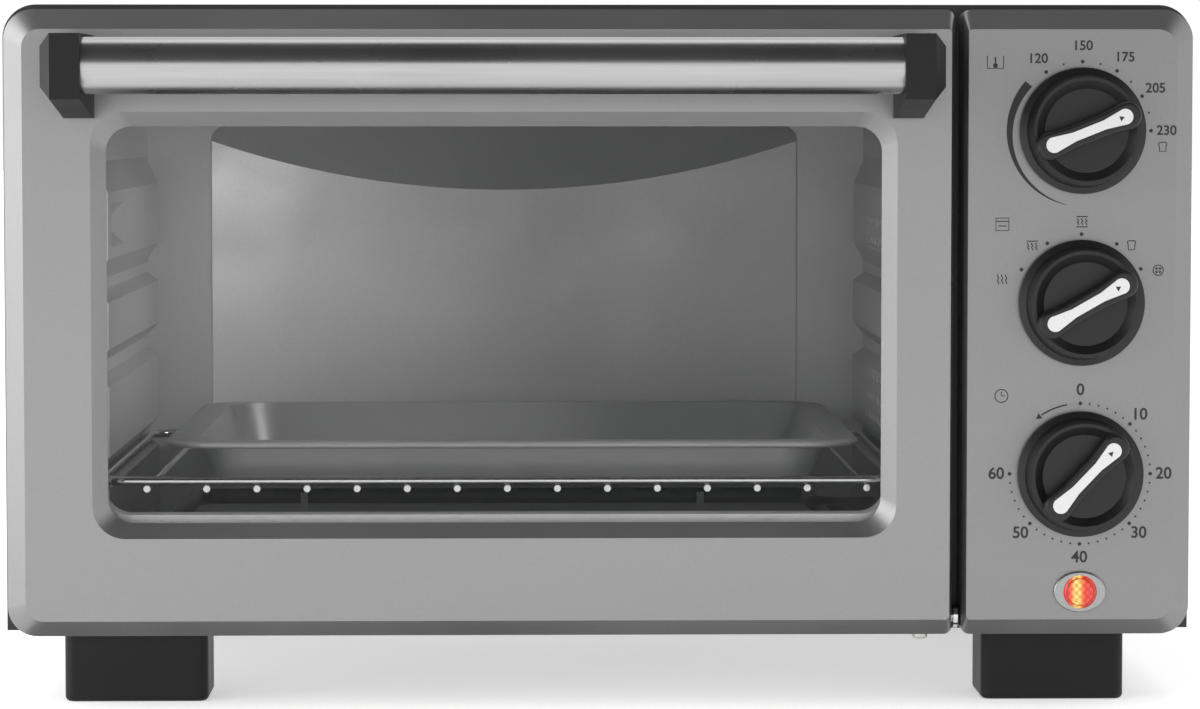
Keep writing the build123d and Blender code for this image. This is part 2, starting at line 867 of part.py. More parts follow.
insulators = []
x_insulator_end = x_bay + insulator_end
for z, start in ((heater_low_z, x_bay - bump_height), (heater_high_z, x_bay)):
    for y in heater_leads:
        insulators.append(rod_x(insulator_radius, start, x_insulator_end, y, z)
                          - rod_x(insulator_bore, start - past, x_insulator_end + past, y, z))
save(apart(insulators), "element_insulators")


def support(x, y, z, seat):
    """A post between the element and the sheet at height seat."""
    direction = 1 if z > seat else -1
    z0, z1 = sorted((seat, z + direction * heater_radius / 2))
    post = box(x - support_thickness / 2, x + support_thickness / 2, y - support_width / 2, y + support_width / 2,
               z0, z1)
    return post - rod_x(heater_radius + support_clear, x - support_thickness, x + support_thickness, y, z)


hangers = []
rails = []
for x in (heater_left + support_inset, heater_right - support_inset):
    rail = box(x - rail_width / 2, x + rail_width / 2, y_cavity + rail_inset, y_rear_wall - rail_inset,
               cavity_low, cavity_low + sheet)
    for depth in (heater_front, heater_rear):
        hangers.append(support(x, y_face + depth, heater_high_z, cavity_high))
        rail += support(x, y_face + depth, heater_low_z, cavity_low)
    rails.append(rail)
save(apart(hangers + rails), "element_supports")

# Wire rack: long wires welded under a frame wire, whose two ends meet in the middle of its left side
frame_points = [(rack_x0, rack_middle_y, rack_z), (rack_x0, rack_y0, rack_z), (rack_x1, rack_y0, rack_z),
                (rack_x1, rack_y1, rack_z), (rack_x0, rack_y1, rack_z), (rack_x0, rack_middle_y + rack_joint, rack_z)]
wire_rack = tube_along(frame_points, rack_frame_radius, rack_corner)
wire_rack += rod_y(rack_frame_radius, rack_x0, rack_middle_y - past, rack_middle_y + past, rack_z)
inner_x0 = rack_x0 + rack_left_span
inner_x1 = rack_x1 - rack_right_span
inner_gaps = round((inner_x1 - inner_x0) / rack_pitch)
wire_places = [inner_x0 - rack_outer_pitch, inner_x1 + rack_outer_pitch]
wire_places += [inner_x0 + i * (inner_x1 - inner_x0) / inner_gaps for i in range(inner_gaps + 1)]
for x in wire_places:
    wire_rack += rod_y(rack_wire_radius, x, rack_y0 - rack_frame_radius, rack_y1 + rack_frame_radius, wire_z)
save(wire_rack, "wire_rack")


# Baking tray: a pan with sloping sides, a flat flange and a rolled edge
def tray_outline(side, end, radius):
    """A rounded rectangle inset from the tray's outer edge."""
    return RectangleRounded(tray_width - 2 * side, tray_length - 2 * end, radius)


def tray_solid(grow, z0, z1):
    """The pan's inside, or with grow its outside, as one solid."""
    bottom = tray_outline(tray_flange + tray_draft - grow, tray_lip + tray_draft - grow, tray_corner - tray_draft)
    top = tray_outline(tray_flange - grow, tray_lip - grow, tray_corner)
    return Pos(tray_x, tray_y) * loft([Pos(0, 0, z0) * bottom, Pos(0, 0, z1) * top], ruled=True)


tray_edge = tray_outline(tray_bead, tray_bead, tray_corner)
bead_path = (Pos(tray_x, tray_y, tray_z1 - tray_bead) * tray_edge).wires()[0]
bead = sweep(Plane(origin=bead_path @ 0, z_dir=bead_path % 0) * Circle(tray_bead), path=bead_path)
flange = extrude(tray_edge, tray_sheet)
baking_tray = tray_solid(tray_sheet, tray_z0, tray_z1) + Pos(tray_x, tray_y, tray_z1 - tray_sheet) * flange
baking_tray -= tray_solid(0, tray_z0 + tray_sheet, tray_z1 + tray_open)
save(baking_tray + bead, "baking_tray")

# Crumb tray under the cavity floor, with a grip behind the rear cover
crumb_y0 = y_face + crumb_front
crumb_y1 = y_back + crumb_end
crumb_x = (crumb_left + crumb_right) / 2
grip_x0 = crumb_x - crumb_grip_width / 2
grip_x1 = crumb_x + crumb_grip_width / 2
grip_y = crumb_y1 + crumb_grip_reach
crumb_tray = box(crumb_left, crumb_right, crumb_y0, crumb_y1, crumb_z, crumb_top)
crumb_tray -= box(crumb_left + crumb_sheet, crumb_right - crumb_sheet, crumb_y0 + crumb_sheet,
                  crumb_y1 - crumb_sheet, crumb_z + crumb_sheet, crumb_top + past)
crumb_tray += box(grip_x0, grip_x1, crumb_y1 - crumb_sheet, grip_y, crumb_top - crumb_sheet, crumb_top)
crumb_tray += box(grip_x0, grip_x1, grip_y - crumb_sheet, grip_y, crumb_top - crumb_grip_drop, crumb_top)
save(crumb_tray, "crumb_tray")


# Convection fan: a shroud on the right wall, the impeller and shaft, the motor and its bridges
def fan_block(x0, x1, half):
    """A square block around the fan's axis."""
    return box(x0, x1, fan_y - half, fan_y + half, fan_z - half, fan_z + half)


shroud_inside = shroud_half - sheet
fan_shroud = fan_block(x_bay, x_shroud, shroud_half) + fan_block(x_bay, x_bay + sheet, shroud_half + shroud_flange)
fan_shroud -= fan_block(x_bay - past, x_shroud - sheet, shroud_inside)
fan_shroud -= rod_x(shroud_hole, x_shroud - sheet - past, x_shroud + past, fan_y, fan_z)
save(fan_shroud, "fan_shroud")

fan_impeller = rod_x(fan_radius, fan_x + fan_width - sheet, fan_x + fan_width, fan_y, fan_z)
blade = box(fan_x, fan_x + fan_width - sheet / 2, -fan_blade_sheet / 2, fan_blade_sheet / 2,
            fan_hub_radius - past, fan_radius)
for i in range(fan_blades):
    fan_impeller += Pos(0, fan_y, fan_z) * Rot(i * 360 / fan_blades, 0, 0) * blade
fan_impeller += rod_x(fan_hub_radius, fan_x, fan_x + fan_hub_length, fan_y, fan_z)
fan_impeller -= rod_x(fan_shaft_radius, fan_x + sheet, fan_x + fan_hub_length + past, fan_y, fan_z)
save(fan_impeller, "fan_impeller")


def bridge(x):
    """A bearing strap across the motor."""
    strap = box(x, x + bridge_thickness, fan_y - motor_half_width, fan_y + motor_half_width,
                fan_z - bridge_half_height, fan_z + bridge_half_height)
    return strap - rod_x(fan_shaft_radius + running, x - past, x + bridge_thickness + past, fan_y, fan_z)


front_bridge = bridge(x_bridge)
rear_bridge = bridge(x_bridge_end)
for side in (-1, 1):
    y = fan_y + side * bridge_post_spread
    front_bridge += rod_x(bridge_post_radius, x_shroud, x_bridge + bridge_post_root, y, fan_z)
    front_bridge += rod_x(bridge_post_radius, x_bridge + bridge_thickness - bridge_post_root, x_stack, y, fan_z)
    rear_bridge += rod_x(bridge_post_radius, x_stack_end, x_bridge_end + bridge_post_root, y, fan_z)
save(apart([front_bridge, rear_bridge]), "motor_bridges")

stack = box(x_stack, x_stack_end, fan_y - motor_half_width, fan_y + motor_half_width,
            fan_z - motor_drop, fan_z + motor_rise)
stack -= rod_x(rotor_radius + rotor_gap, x_stack - past, x_stack_end + past, fan_y, fan_z)
for side in (-1, 1):
    y = fan_y + side * coil_half
    stack -= box(x_stack - past, x_stack_end + past, y - coil_slot / 2, y + coil_slot / 2,
                 coil_z0, coil_z1)
save(stack, "motor_laminations")
coil = box(x_stack - coil_proud, x_stack_end + coil_proud, fan_y - coil_half, fan_y + coil_half,
           coil_z0, coil_z1) - stack
save(max(coil.solids(), key=lambda solid: solid.volume), "motor_coil")
fan_rotor = rod_x(rotor_radius, x_stack, x_stack_end, fan_y, fan_z)
save(fan_rotor - rod_x(fan_shaft_radius, x_stack - past, x_stack_end + past, fan_y, fan_z), "fan_rotor")
save(rod_x(fan_shaft_radius, fan_x + sheet, x_bridge_end + bridge_thickness + past, fan_y, fan_z), "fan_shaft")

# Door: outer frame, gasket, glass and inner liner
door_corners = (door_corner, seam_corner, seam_corner, door_corner)
hollow_corners = (door_corner - skin, skin, skin, door_corner - skin)
door_cuts = (edge_left, edge_seam, edge_low, edge_high)
door_outer = bevelled(-x_front, door_right, z_base, z_front_top, door_corners, door_cuts,
                      y_face, y_face + edge_depth, y_door_back)
door_hollow = bevelled(-x_front + skin, door_right - skin, z_base + skin, z_front_top - skin, hollow_corners,
                       door_cuts, y_face + skin, y_face + edge_depth + skin / 2, y_door_back + past)
seat_face = even(seat_left, seat_right, seat_low, seat_high, seat_corner)
seat_wall = even(seat_left - skin, seat_right + skin, seat_low - skin, seat_high + skin, seat_corner + skin)
window_face = even(window_left, window_right, window_low, window_high, window_corner)
y_recess = y_face + window_recess
door_outer_frame = door_outer - (door_hollow - slab(seat_wall, y_face - past, y_door_back + past))
door_outer_frame -= taper(seat_face, y_face, window_face, y_recess) + slab(window_face, y_recess, y_door_back)
door_outer_frame -= slab(seat_face, y_recess + window_lip, y_door_back + past)

glass_face = even(seat_left + glass_clear, seat_right - glass_clear, seat_low + glass_clear,
                     seat_high - glass_clear, seat_corner - glass_clear)
save(slab(glass_face, y_glass, y_glass_back), "door_glass")
gasket_inset = gasket_width + glass_clear
gasket_hole = even(seat_left + gasket_inset, seat_right - gasket_inset, seat_low + gasket_inset,
                      seat_high - gasket_inset, seat_corner - gasket_width)
save(slab(glass_face - gasket_hole, y_glass - gasket_thickness, y_glass), "glass_gasket")

# The liner is a shallow pan whose middle reaches forward to hold the glass; its low rear edge is cut to swing free
liner_x0 = -x_front + liner_inset
liner_x1 = door_right - liner_inset
liner_z0 = z_base + liner_inset
liner_z1 = z_front_top - liner_inset
liner_corners = [corner - liner_inset for corner in door_corners]
pan_corners = [max(corner - liner_inset - liner_sheet, least_corner) for corner in door_corners]
liner_face = rounded(liner_x0, liner_x1, liner_z0, liner_z1, liner_corners)
liner_inside = rounded(liner_x0 + liner_sheet, liner_x1 - liner_sheet, liner_z0 + liner_sheet,
                       liner_z1 - liner_sheet, pan_corners)
retainer_hole = even(window_left - retainer_side, window_right + retainer_side, window_low + retainer_low,
                        window_high + retainer_high, window_corner)
door_liner = slab(liner_face, y_door_back, y_liner_back)
door_liner -= slab(liner_inside, y_door_back - past, y_liner_back - liner_sheet)
door_liner += slab(glass_face, y_glass_back, y_liner_back)
door_liner -= slab(retainer_hole, y_glass_back - past, y_liner_back + past)

# Hinges: ears on the body, pins in the door, with a slot through the door for the left ear
slot_half = hinge_ear_thickness / 2 + hinge_slot_clear
slot_left = hinge_left - slot_half
slot_right = hinge_left + slot_half
lug_right = door_right - skin - lug_clear
lug_left = -x_front + skin + lug_clear
lug_low = z_base + skin + lug_clear
lug_room = slab(rounded(lug_left, lug_right, lug_low, z_front_top - skin - lug_clear, hollow_corners),
                y_face + edge_depth + skin, y_liner_back)


def lug(x0, x1):
    """A block in the door that holds a hinge pin."""
    block = box(x0, x1, hinge_y - hinge_lug_front, y_liner_back - liner_sheet / 2, lug_low,
                hinge_z + hinge_lug_height / 2)
    return block & lug_room


lug_screw_x = door_right - lug_screw_inset
lug_screw_y = y_face + lug_screw_depth
door_liner += lug(slot_left - lug_wall, slot_right + hinge_pin_grip)
door_liner += lug(lug_screw_x - lug_screw_wall, lug_right)
heel = [(y_liner_back + past, liner_z0 - past), (y_liner_back + past, z_base + liner_heel),
        (y_liner_back, z_base + liner_heel), (y_liner_back - liner_heel, liner_z0),
        (y_liner_back - liner_heel, liner_z0 - past)]
door_liner -= sheet_x(heel, liner_x0 - past, liner_x1 + past)
slot_front = hinge_y - hinge_slot_front
door_liner -= box(slot_left, slot_right, slot_front, y_liner_back + past, z_base - past, hinge_z + hinge_slot_height)
door_outer_frame -= box(slot_left, slot_right, slot_front, y_door_back + past, z_base - past, lug_low + past)
pin_left = rod_x(hinge_pin_radius, slot_left - lug_wall, slot_right + hinge_pin_grip - hinge_pin_end,
                 hinge_y, hinge_z)
pin_right = rod_x(hinge_pin_radius, door_right - skin - hinge_pin_grip + hinge_pin_end,
                  hinge_right + hinge_ear_thickness / 2 + hinge_pin_proud, hinge_y, hinge_z)
door_liner -= pin_left
door_liner -= pin_right
door_outer_frame -= rod_x(hinge_pin_radius, door_right - skin - past, door_right + past, hinge_y, hinge_z)
save(apart([pin_left, pin_right]), "hinge_pins")


def hinge_bracket(x):
    """A flat ear with a round nose that stands out from the front frame."""
    x0 = x - hinge_ear_thickness / 2
    x1 = x + hinge_ear_thickness / 2
    nose = rod_x(hinge_ear_radius, x0, x1, hinge_y, hinge_z)
    arm = box(x0, x1, hinge_y, y_frame, hinge_z - hinge_ear_radius, hinge_z + hinge_ear_radius)
    return nose + arm - rod_x(hinge_pin_radius + running, x0 - past, x1 + past, hinge_y, hinge_z)


save(apart([hinge_bracket(hinge_left), hinge_bracket(hinge_right)]), "hinge_brackets")

# Screws that join the liner to bosses inside the outer frame, and one from below into the right hinge lug
door_screw = screw(door_screw_radius, door_screw_head, door_screw_head_height, door_screw_length)
door_screw_places = [(x, z) for x in (-x_front + door_boss_side, door_right - door_boss_seam)
                     for z in (z_base + door_boss_low, z_front_top - door_boss_high)]
y_pan = y_liner_back - liner_sheet
y_head = y_pan - door_screw_sink
head_hole = door_screw_head + screw_clear
door_screws = [Pos(lug_screw_x, lug_screw_y, z_base) * door_screw]
lug_screw_hole = rod_z(door_screw_radius, lug_screw_x, lug_screw_y, z_base - past, z_base + door_screw_length)
door_outer_frame -= lug_screw_hole
door_liner -= lug_screw_hole
for x, z in door_screw_places:
    boss = rod_y(door_boss_radius, x, y_face + skin / 2, y_pan, z)
    hole = rod_y(door_screw_radius, x, y_head - door_screw_length - door_screw_tip, y_liner_back, z)
    door_outer_frame += boss - hole - slab(seat_wall, y_face, y_liner_back)
    door_outer_frame -= rod_y(head_hole, x, y_head, y_liner_back, z)
    door_liner -= rod_y(head_hole, x, y_pan, y_liner_back + past, z)
    door_screws.append(Pos(x, y_head, z) * Rot(90, 0, 0) * door_screw)
save(apart(door_screws), "door_screws")

# Handle: a tube between two plastic brackets, each with one screw from inside the door
handle_bar = rod_x(bar_radius, bar_x0 - bar_socket, bar_x1 + bar_socket, bar_y, handle_height)
handle_bar -= rod_x(bar_radius - bar_wall, bar_x0 - bar_socket - past, bar_x1 + bar_socket + past, bar_y,
                    handle_height)
save(handle_bar, "handle_bar")
y_nose = y_face - handle_reach
y_cut = y_nose + bracket_cut_length
bracket_profile = [(y_face, bracket_root_low), (y_face - bracket_flat, bracket_root_low), (y_nose, bracket_nose_low),
                   (y_nose, bracket_top), (y_face, bracket_top)]
handle_screw = Rot(90, 0, 0) * screw(handle_screw_radius, handle_screw_head, handle_screw_height,
                                     handle_screw_length + skin - handle_screw_clear)
handle_screws = []
for name, x_in, side in (("left", bar_x0, -1), ("right", bar_x1, 1)):
    x_out = x_in + side * bracket_width
    x_cut = x_out - side * bracket_side_cut
    x_past = x_out + side * past
    bracket = sheet_x(bracket_profile, min(x_in, x_out), max(x_in, x_out))
    bracket -= sheet_z([(x_past, y_nose - past), (x_past, y_cut), (x_out, y_cut), (x_cut, y_nose),
                        (x_cut, y_nose - past)], bracket_root_low - past, bracket_top + past)
    for z_edge, z_far, reach in ((bracket_top, 1, past), (bracket_nose_low, -1, bracket_width)):
        z_cut = z_edge - z_far * bracket_side_cut
        z_past = z_edge + z_far * reach
        corner = make_face(Polyline((x_past, z_cut), (x_out, z_cut), (x_cut, z_edge), (x_cut, z_past),
                                    (x_past, z_past), close=True))
        bracket -= slab(corner, y_nose - past, y_face + past)
    x_socket = x_in + side * (bar_socket + bar_socket_end)
    bracket -= rod_x(bar_radius + bar_clear, min(x_in - side * past, x_socket), max(x_in - side * past, x_socket),
                     bar_y, handle_height)
    x_screw = (x_in + x_out) / 2
    bracket -= rod_y(handle_screw_radius, x_screw, y_face - handle_screw_length, y_face + past, handle_screw_z)
    save(bracket, f"handle_bracket_{name}")
    door_outer_frame -= rod_y(handle_screw_radius + handle_screw_clear, x_screw, y_face - past,
                              y_face + skin + past, handle_screw_z)
    handle_screws.append(Pos(x_screw, y_face + skin, handle_screw_z) * handle_screw)
save(apart(handle_screws), "handle_screws")
save(door_outer_frame, "door_outer_frame")
save(door_liner, "door_liner")

# Control panel: a hollow moulding with holes for three shafts and the lamp
panel_corners = (seam_corner, door_corner, door_corner, seam_corner)
panel_hollow_corners = (skin, door_corner - skin, door_corner - skin, skin)
panel_cuts = (edge_seam, panel_bevel, edge_low, edge_high)
control_panel = bevelled(panel_left, x_front, z_base, z_front_top, panel_corners, panel_cuts,
                         y_face, y_face + edge_depth, y_frame)
control_panel -= bevelled(panel_left + skin, x_front - skin, z_base + skin, z_front_top - skin,
                          panel_hollow_corners, panel_cuts, y_face + skin, y_face + edge_depth + skin / 2,
                          y_frame + past)
for z, angle in knobs.values():
    control_panel -= rod_y(panel_hole_radius, knob_x, y_face - past, y_face + skin + past, z)
control_panel -= rod_y(bezel_stem_radius + lamp_clear, lamp_x, y_face - past, y_face + skin + past, lamp_z)
save(control_panel, "control_panel")

# Knobs with their pointer inlays and shafts
y_skirt = y_face - knob_clear
y_rim = y_skirt - knob_flange
y_rim_front = y_rim - knob_rim_step
y_knob_face = y_face - knob_face
y_dish = y_knob_face + knob_dish
y_grip = y_face - grip_top
for name, (z, angle) in knobs.items():
    centre = Pos(knob_x, z)
    circle = centre * Circle(knob_radius)
    rim_circle = centre * Circle(knob_rim_radius)
    knob = slab(circle, y_rim, y_skirt)
    knob += taper(rim_circle, y_rim_front, circle, y_rim)
    knob += taper(centre * Circle(knob_face_radius), y_knob_face, rim_circle, y_rim_front)
    knob -= taper(centre * Circle(knob_dish_radius), y_knob_face,
                  centre * Circle(knob_dish_radius - knob_dish_slope), y_dish)
    turn = centre * Rot(0, 0, angle)
    ridge = slab(turn * dog_bone(grip_length, grip_end, grip_waist, grip_waist_length), y_grip, y_dish + grip_root)
    ridge = fillet(ridge.edges().group_by(Axis.Y)[0], grip_round)
    knob += ridge & rod_y(knob_rim_radius, knob_x, y_grip - past, y_rim, z)
    knob -= rod_y(knob_face_radius - knob_wall, knob_x, y_dish + knob_wall, y_skirt + past, z)
    knob += rod_y(knob_boss_radius, knob_x, y_dish, y_skirt - knob_boss_inset, z)
    knob -= rod_y(shaft_radius, knob_x, y_face - shaft_reach, y_skirt + past, z)
    inlay = turn * dog_bone(pointer_length, pointer_end, pointer_waist, pointer_waist_length)
    pointer = slab(inlay, y_grip - pointer_proud, y_grip + pointer_sink)
    save(knob - pointer, f"{name}_knob")
    save(pointer, f"{name}_pointer")
    save(rod_y(shaft_radius, knob_x, y_face - shaft_reach, y_shaft_end, z), f"{name}_shaft")

# Chassis plate and the nuts that hold the control units to it
chassis = box(chassis_left, chassis_right, y_cavity, y_unit, chassis_low, chassis_high)
nuts = []
for z, angle in knobs.values():
    chassis -= rod_y(bushing_radius + bushing_clear, knob_x, y_cavity - past, y_unit + past, z)
    nut = slab(Pos(knob_x, z) * RegularPolygon(nut_radius, 6), y_cavity - nut_thickness, y_cavity)
    nuts.append(nut - rod_y(bushing_radius, knob_x, y_cavity - nut_thickness - past, y_cavity + past, z))
save(chassis, "control_chassis")
save(apart(nuts), "bushing_nuts")


# The three control units: thermostat, function switch, and timer with its bell
def unit(body, z):
    """A control body with its threaded bushing and the bore for the shaft."""
    y_bushing = y_cavity - bushing_reach
    whole = body + rod_y(bushing_radius, knob_x, y_bushing, y_unit + past, z)
    return whole - rod_y(shaft_radius + running, knob_x, y_bushing - past, y_shaft_end + shaft_end_gap, z)


def housing_block(width, length, height, z):
    """A rectangular control body behind the chassis."""
    return box(knob_x - width / 2, knob_x + width / 2, y_unit, y_unit + length, z - height / 2, z + height / 2)


def tabs(y, z, spread):
    """Two flat push-on tabs on the back of a control."""
    pair = [box(knob_x + side * spread - tab_width / 2, knob_x + side * spread + tab_width / 2, y - tab_root,
                y + tab_length, z, z + tab_thickness) for side in (-1, 1)]
    return pair[0] + pair[1]


y_thermostat = y_unit + thermostat_length
y_switch = y_unit + switch_length
y_timer = y_unit + timer_length
thermostat = housing_block(thermostat_width, thermostat_length, thermostat_height, temperature_z)
thermostat = chamfer(thermostat.edges().filter_by(Axis.Y), thermostat_chamfer)
save(unit(thermostat + tabs(y_thermostat, temperature_z + tab_rise, tab_spread), temperature_z), "thermostat")
switch = rod_y(switch_radius, knob_x, y_unit, y_switch, function_z)
for rise in (-tab_rise, tab_rise):
    switch += tabs(y_switch, function_z + rise, switch_tab_spread)
save(unit(switch, function_z), "function_switch")
timer_body = housing_block(timer_width, timer_length, timer_height, timer_z)
timer_body = fillet(timer_body.edges().filter_by(Axis.Y), timer_round)
timer_body += rod_y(bell_post_radius, knob_x, y_timer - past, y_timer + bell_depth, timer_z)
timer_body += tabs(y_timer, timer_z + bell_radius + bell_gap, tab_spread)
save(unit(timer_body, timer_z), "timer_unit")
y_bell = y_timer + bell_gap
y_bell_end = y_bell + bell_depth
bell = rod_y(bell_radius, knob_x, y_bell, y_bell_end, timer_z)
bell = fillet(bell.edges().group_by(Axis.Y)[-1], bell_round)
bell -= rod_y(bell_radius - bell_wall, knob_x, y_bell - past, y_bell_end - bell_crown, timer_z)
bell -= rod_y(bell_post_radius, knob_x, y_bell - past, y_bell_end - bell_seat, timer_z)
save(bell, "timer_bell")

# Pilot lamp: oval bezel, lens and the small glow lamp behind it
bezel = slab(Pos(lamp_x, lamp_z) * Ellipse(bezel_width / 2, bezel_height / 2), y_face - bezel_proud, y_face)
bezel = fillet(bezel.edges().group_by(Axis.Y)[0], bezel_round)
bezel += rod_y(bezel_stem_radius, lamp_x, y_face - bezel_proud / 2, y_face + bezel_stem_length, lamp_z)
bezel -= rod_y(lens_radius, lamp_x, y_face - bezel_proud - past, y_face + bezel_stem_length + past, lamp_z)
save(bezel, "pilot_bezel")
lens = rod_y(lens_radius, lamp_x, y_face - lens_proud, y_face + lens_length, lamp_z)
lens = fillet(lens.edges().group_by(Axis.Y)[0], lens_round)
save(lens - rod_y(neon_radius + neon_clear, lamp_x, y_face, y_face + lens_length + past, lamp_z), "pilot_lens")
neon = rod_y(neon_radius, lamp_x, y_face + neon_clear, y_face + neon_length, lamp_z)
save(fillet(neon.edges().group_by(Axis.Y)[0], neon_round), "neon_lamp")

# Feet and their screws
foot = box(-foot_width / 2, foot_width / 2, -foot_length / 2, foot_length / 2, 0, z_base)
foot = fillet(foot.edges().filter_by(Axis.Z), foot_round)
foot = fillet(foot.edges().group_by(Axis.Z)[0], foot_edge)
foot -= box(foot_wall - foot_width / 2, foot_width / 2 - foot_wall, foot_wall - foot_length / 2,
            foot_length / 2 - foot_wall, foot_wall, z_base + past)
foot += rod_z(foot_recess + foot_boss_wall, 0, 0, foot_boss_rise, z_base)
foot -= rod_z(foot_recess, 0, 0, -past, foot_recess_depth)
foot -= rod_z(foot_screw_radius + foot_screw_clear, 0, 0, 0, z_base + past)
foot_screw = Pos(0, 0, foot_recess_depth) * screw(foot_screw_radius, foot_screw_head, foot_screw_height,
                                                  foot_screw_length)
save(apart([Pos(x, y, 0) * foot for x, y in foot_places]), "feet")
save(apart([Pos(x, y, 0) * foot_screw for x, y in foot_places]), "foot_screws")

# Cord gland in the rear cover and the terminal block on the base
gland_end = y_back + gland_flange_length
gland = rod_y(gland_radius, gland_x, y_back - gland_length, y_back + past, gland_z)
gland += rod_y(gland_flange, gland_x, y_back, gland_end, gland_z)
save(gland - rod_y(gland_bore, gland_x, y_back - gland_length - past, gland_end + past, gland_z), "cord_gland")
block_y0 = block_y - block_length / 2
terminal_block = box(block_x - block_width / 2, block_x + block_width / 2, block_y0, block_y0 + block_length,
                     z_base + sheet, block_top)
for x in block_poles:
    terminal_block -= rod_z(block_hole_radius, x, block_y, block_top - block_hole_depth, block_top + past)
save(terminal_block, "terminal_block")

# Internal wires from the terminal block to a tab of the thermostat and a tab of the switch
wires = []
wire_ends = (
    (block_poles[2], temperature_z, knob_x + tab_spread, y_thermostat),
    (block_poles[1], function_z, knob_x + switch_tab_spread, y_switch),
)
for i, (x, z_unit, x_tab, y_unit_back) in enumerate(wire_ends):
    x_run = x_inside - wire_insets[i]
    z_low = z_base + sheet + (i + 1) * wire_gap
    z_tab = z_unit + tab_rise + tab_thickness / 2
    y_tab = y_unit_back + tab_length
    y_lead = block_y0 - wire_lead - i * wire_lead_step
    y_rise = y_tab + wire_lead + i * wire_stagger + wire_drop
    points = [(x, block_y0, z_low), (x, y_lead, z_low), (x_run, y_lead, z_low), (x_run, y_rise, z_low),
              (x_run, y_rise, z_tab), (x_tab, y_rise, z_tab), (x_tab, y_tab, z_tab)]
    wires.append(tube_along(points, wire_radius, wire_bend))
save(apart(wires), "wiring")
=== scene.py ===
import bpy
import json
import math
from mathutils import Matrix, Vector


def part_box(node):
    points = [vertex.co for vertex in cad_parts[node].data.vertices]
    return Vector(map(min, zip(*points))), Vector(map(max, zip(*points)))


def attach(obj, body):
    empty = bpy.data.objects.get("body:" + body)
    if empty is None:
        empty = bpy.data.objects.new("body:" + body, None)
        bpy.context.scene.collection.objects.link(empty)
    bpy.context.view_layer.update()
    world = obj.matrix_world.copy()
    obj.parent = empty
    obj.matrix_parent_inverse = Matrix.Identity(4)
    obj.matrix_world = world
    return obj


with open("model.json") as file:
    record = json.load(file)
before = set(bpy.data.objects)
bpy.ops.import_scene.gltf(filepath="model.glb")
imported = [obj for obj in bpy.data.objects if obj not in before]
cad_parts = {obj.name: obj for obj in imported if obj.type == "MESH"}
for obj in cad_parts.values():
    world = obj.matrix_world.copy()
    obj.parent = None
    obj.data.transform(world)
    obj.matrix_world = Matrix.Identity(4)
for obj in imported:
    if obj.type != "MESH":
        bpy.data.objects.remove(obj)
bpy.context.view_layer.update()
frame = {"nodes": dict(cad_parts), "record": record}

# Places, in metres, read from the frame
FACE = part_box("control_panel")[0].y
LENS_LOW, LENS_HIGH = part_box("pilot_lens")
REAR_WALL_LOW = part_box("cavity_rear_wall")[0]

# Angle above +X of each pointer, seen from the front
POINTER_ANGLES = {"temperature": 21.7, "function": 29.7, "timer": 46.3}

# Dots and numbers of the dials: radii from the dial's middle, sizes and angles
DOT_SIDES = 20
DOT_RADIUS = 0.0007
SMALL_DOT_RADIUS = 0.00038
PRINT_THICKNESS = 0.00008
TEMPERATURE_RADIUS = 0.0255
FUNCTION_RADIUS = 0.0254
TIMER_RADIUS = 0.0262
NUMBER_RADIUS = 0.0313
TIMER_NUMBER_RADIUS = 0.0312
NUMBER_SIZE = 0.0050
TIMER_NUMBER_SIZE = 0.0060
NUMBER_WEIGHT = 0.02
TEMPERATURES = (("120", 122), ("150", 90), ("175", 60), ("205", 30), ("230", 0))
FUNCTION_ANGLES = (151, 120, 90, 59, 29.5)
TIMER_STEPS = 6
TIMER_STEP = 45.0
MINUTES_PER_NUMBER = 10
SMALL_DOTS_PER_STEP = 6
ARROW_START = 101.0
ARROW_TURN = 1.6
ARROW_POINTS = 15
ARROW_TIP = 126.0
ARROW_HEAD_RADIUS = 0.0014
ARROW_HEAD_ANGLE = 216.0
WEDGE_START = 139.0
WEDGE_END = 258.0
WEDGE_OUTER = 0.0280
WEDGE_THICKNESS = 0.0033
WEDGE_END_THICKNESS = 0.0002
TIP_MARK_PLACE = 0.0125
TIP_MARK_RADIUS = 0.0012
TIP_MARK_THICKNESS = 0.00005

# Line marks: half widths of the strokes, then sizes
STROKE = 0.00026
THIN_STROKE = STROKE * 0.7
WAVE_COUNT = 3
WAVE_HEIGHT = 0.0034
GRILL_WAVE_HEIGHT = 0.0026
BAKE_WAVE_HEIGHT = 0.0024
WAVE_PITCH = 0.0015
WAVE_SWING = 0.0003
WAVE_POINTS = 12
BAR_LENGTH = 0.0042
GRILL_BAR_RISE = 0.0020
BAKE_BAR_RISE = 0.0019
BREAD_SIDE = 0.0012
BREAD_LOW = 0.0017
BREAD_BROW = 0.000408
SHOULDER_OUT = 0.000825
SHOULDER_RISE = 0.000952
SHOULDER_RADIUS = 0.00075
SHOULDER_ANGLES = (-20, 30, 80, 120)
RING_SIDES = 32
FAN_RING_RADIUS = 0.0019
FAN_BLADES = 4
FAN_BLADE_SIDES = 8
FAN_BLADE_PLACE = 0.0009
FAN_BLADE_RADIUS = 0.0005
BULB_SIDES = 12
BULB_RADIUS = 0.0009
BULB_DROP = 0.0020
STEM_HIGH = 0.0012
STEM_LOW = 0.0014
CUP_HALF = 0.0030
CUP_HIGH = 0.0016
OVEN_HALF_WIDTH = 0.0024
OVEN_HALF_HEIGHT = 0.0023
OVEN_TOP_RISE = 0.0011
OVEN_TOP_LENGTH = 0.0046
OVEN_SHELF_DROP = 0.0006
OVEN_SHELF_LENGTH = 0.0030
CLOCK_RADIUS = 0.0024
LONG_HAND = 0.0016
SHORT_HAND = 0.0012

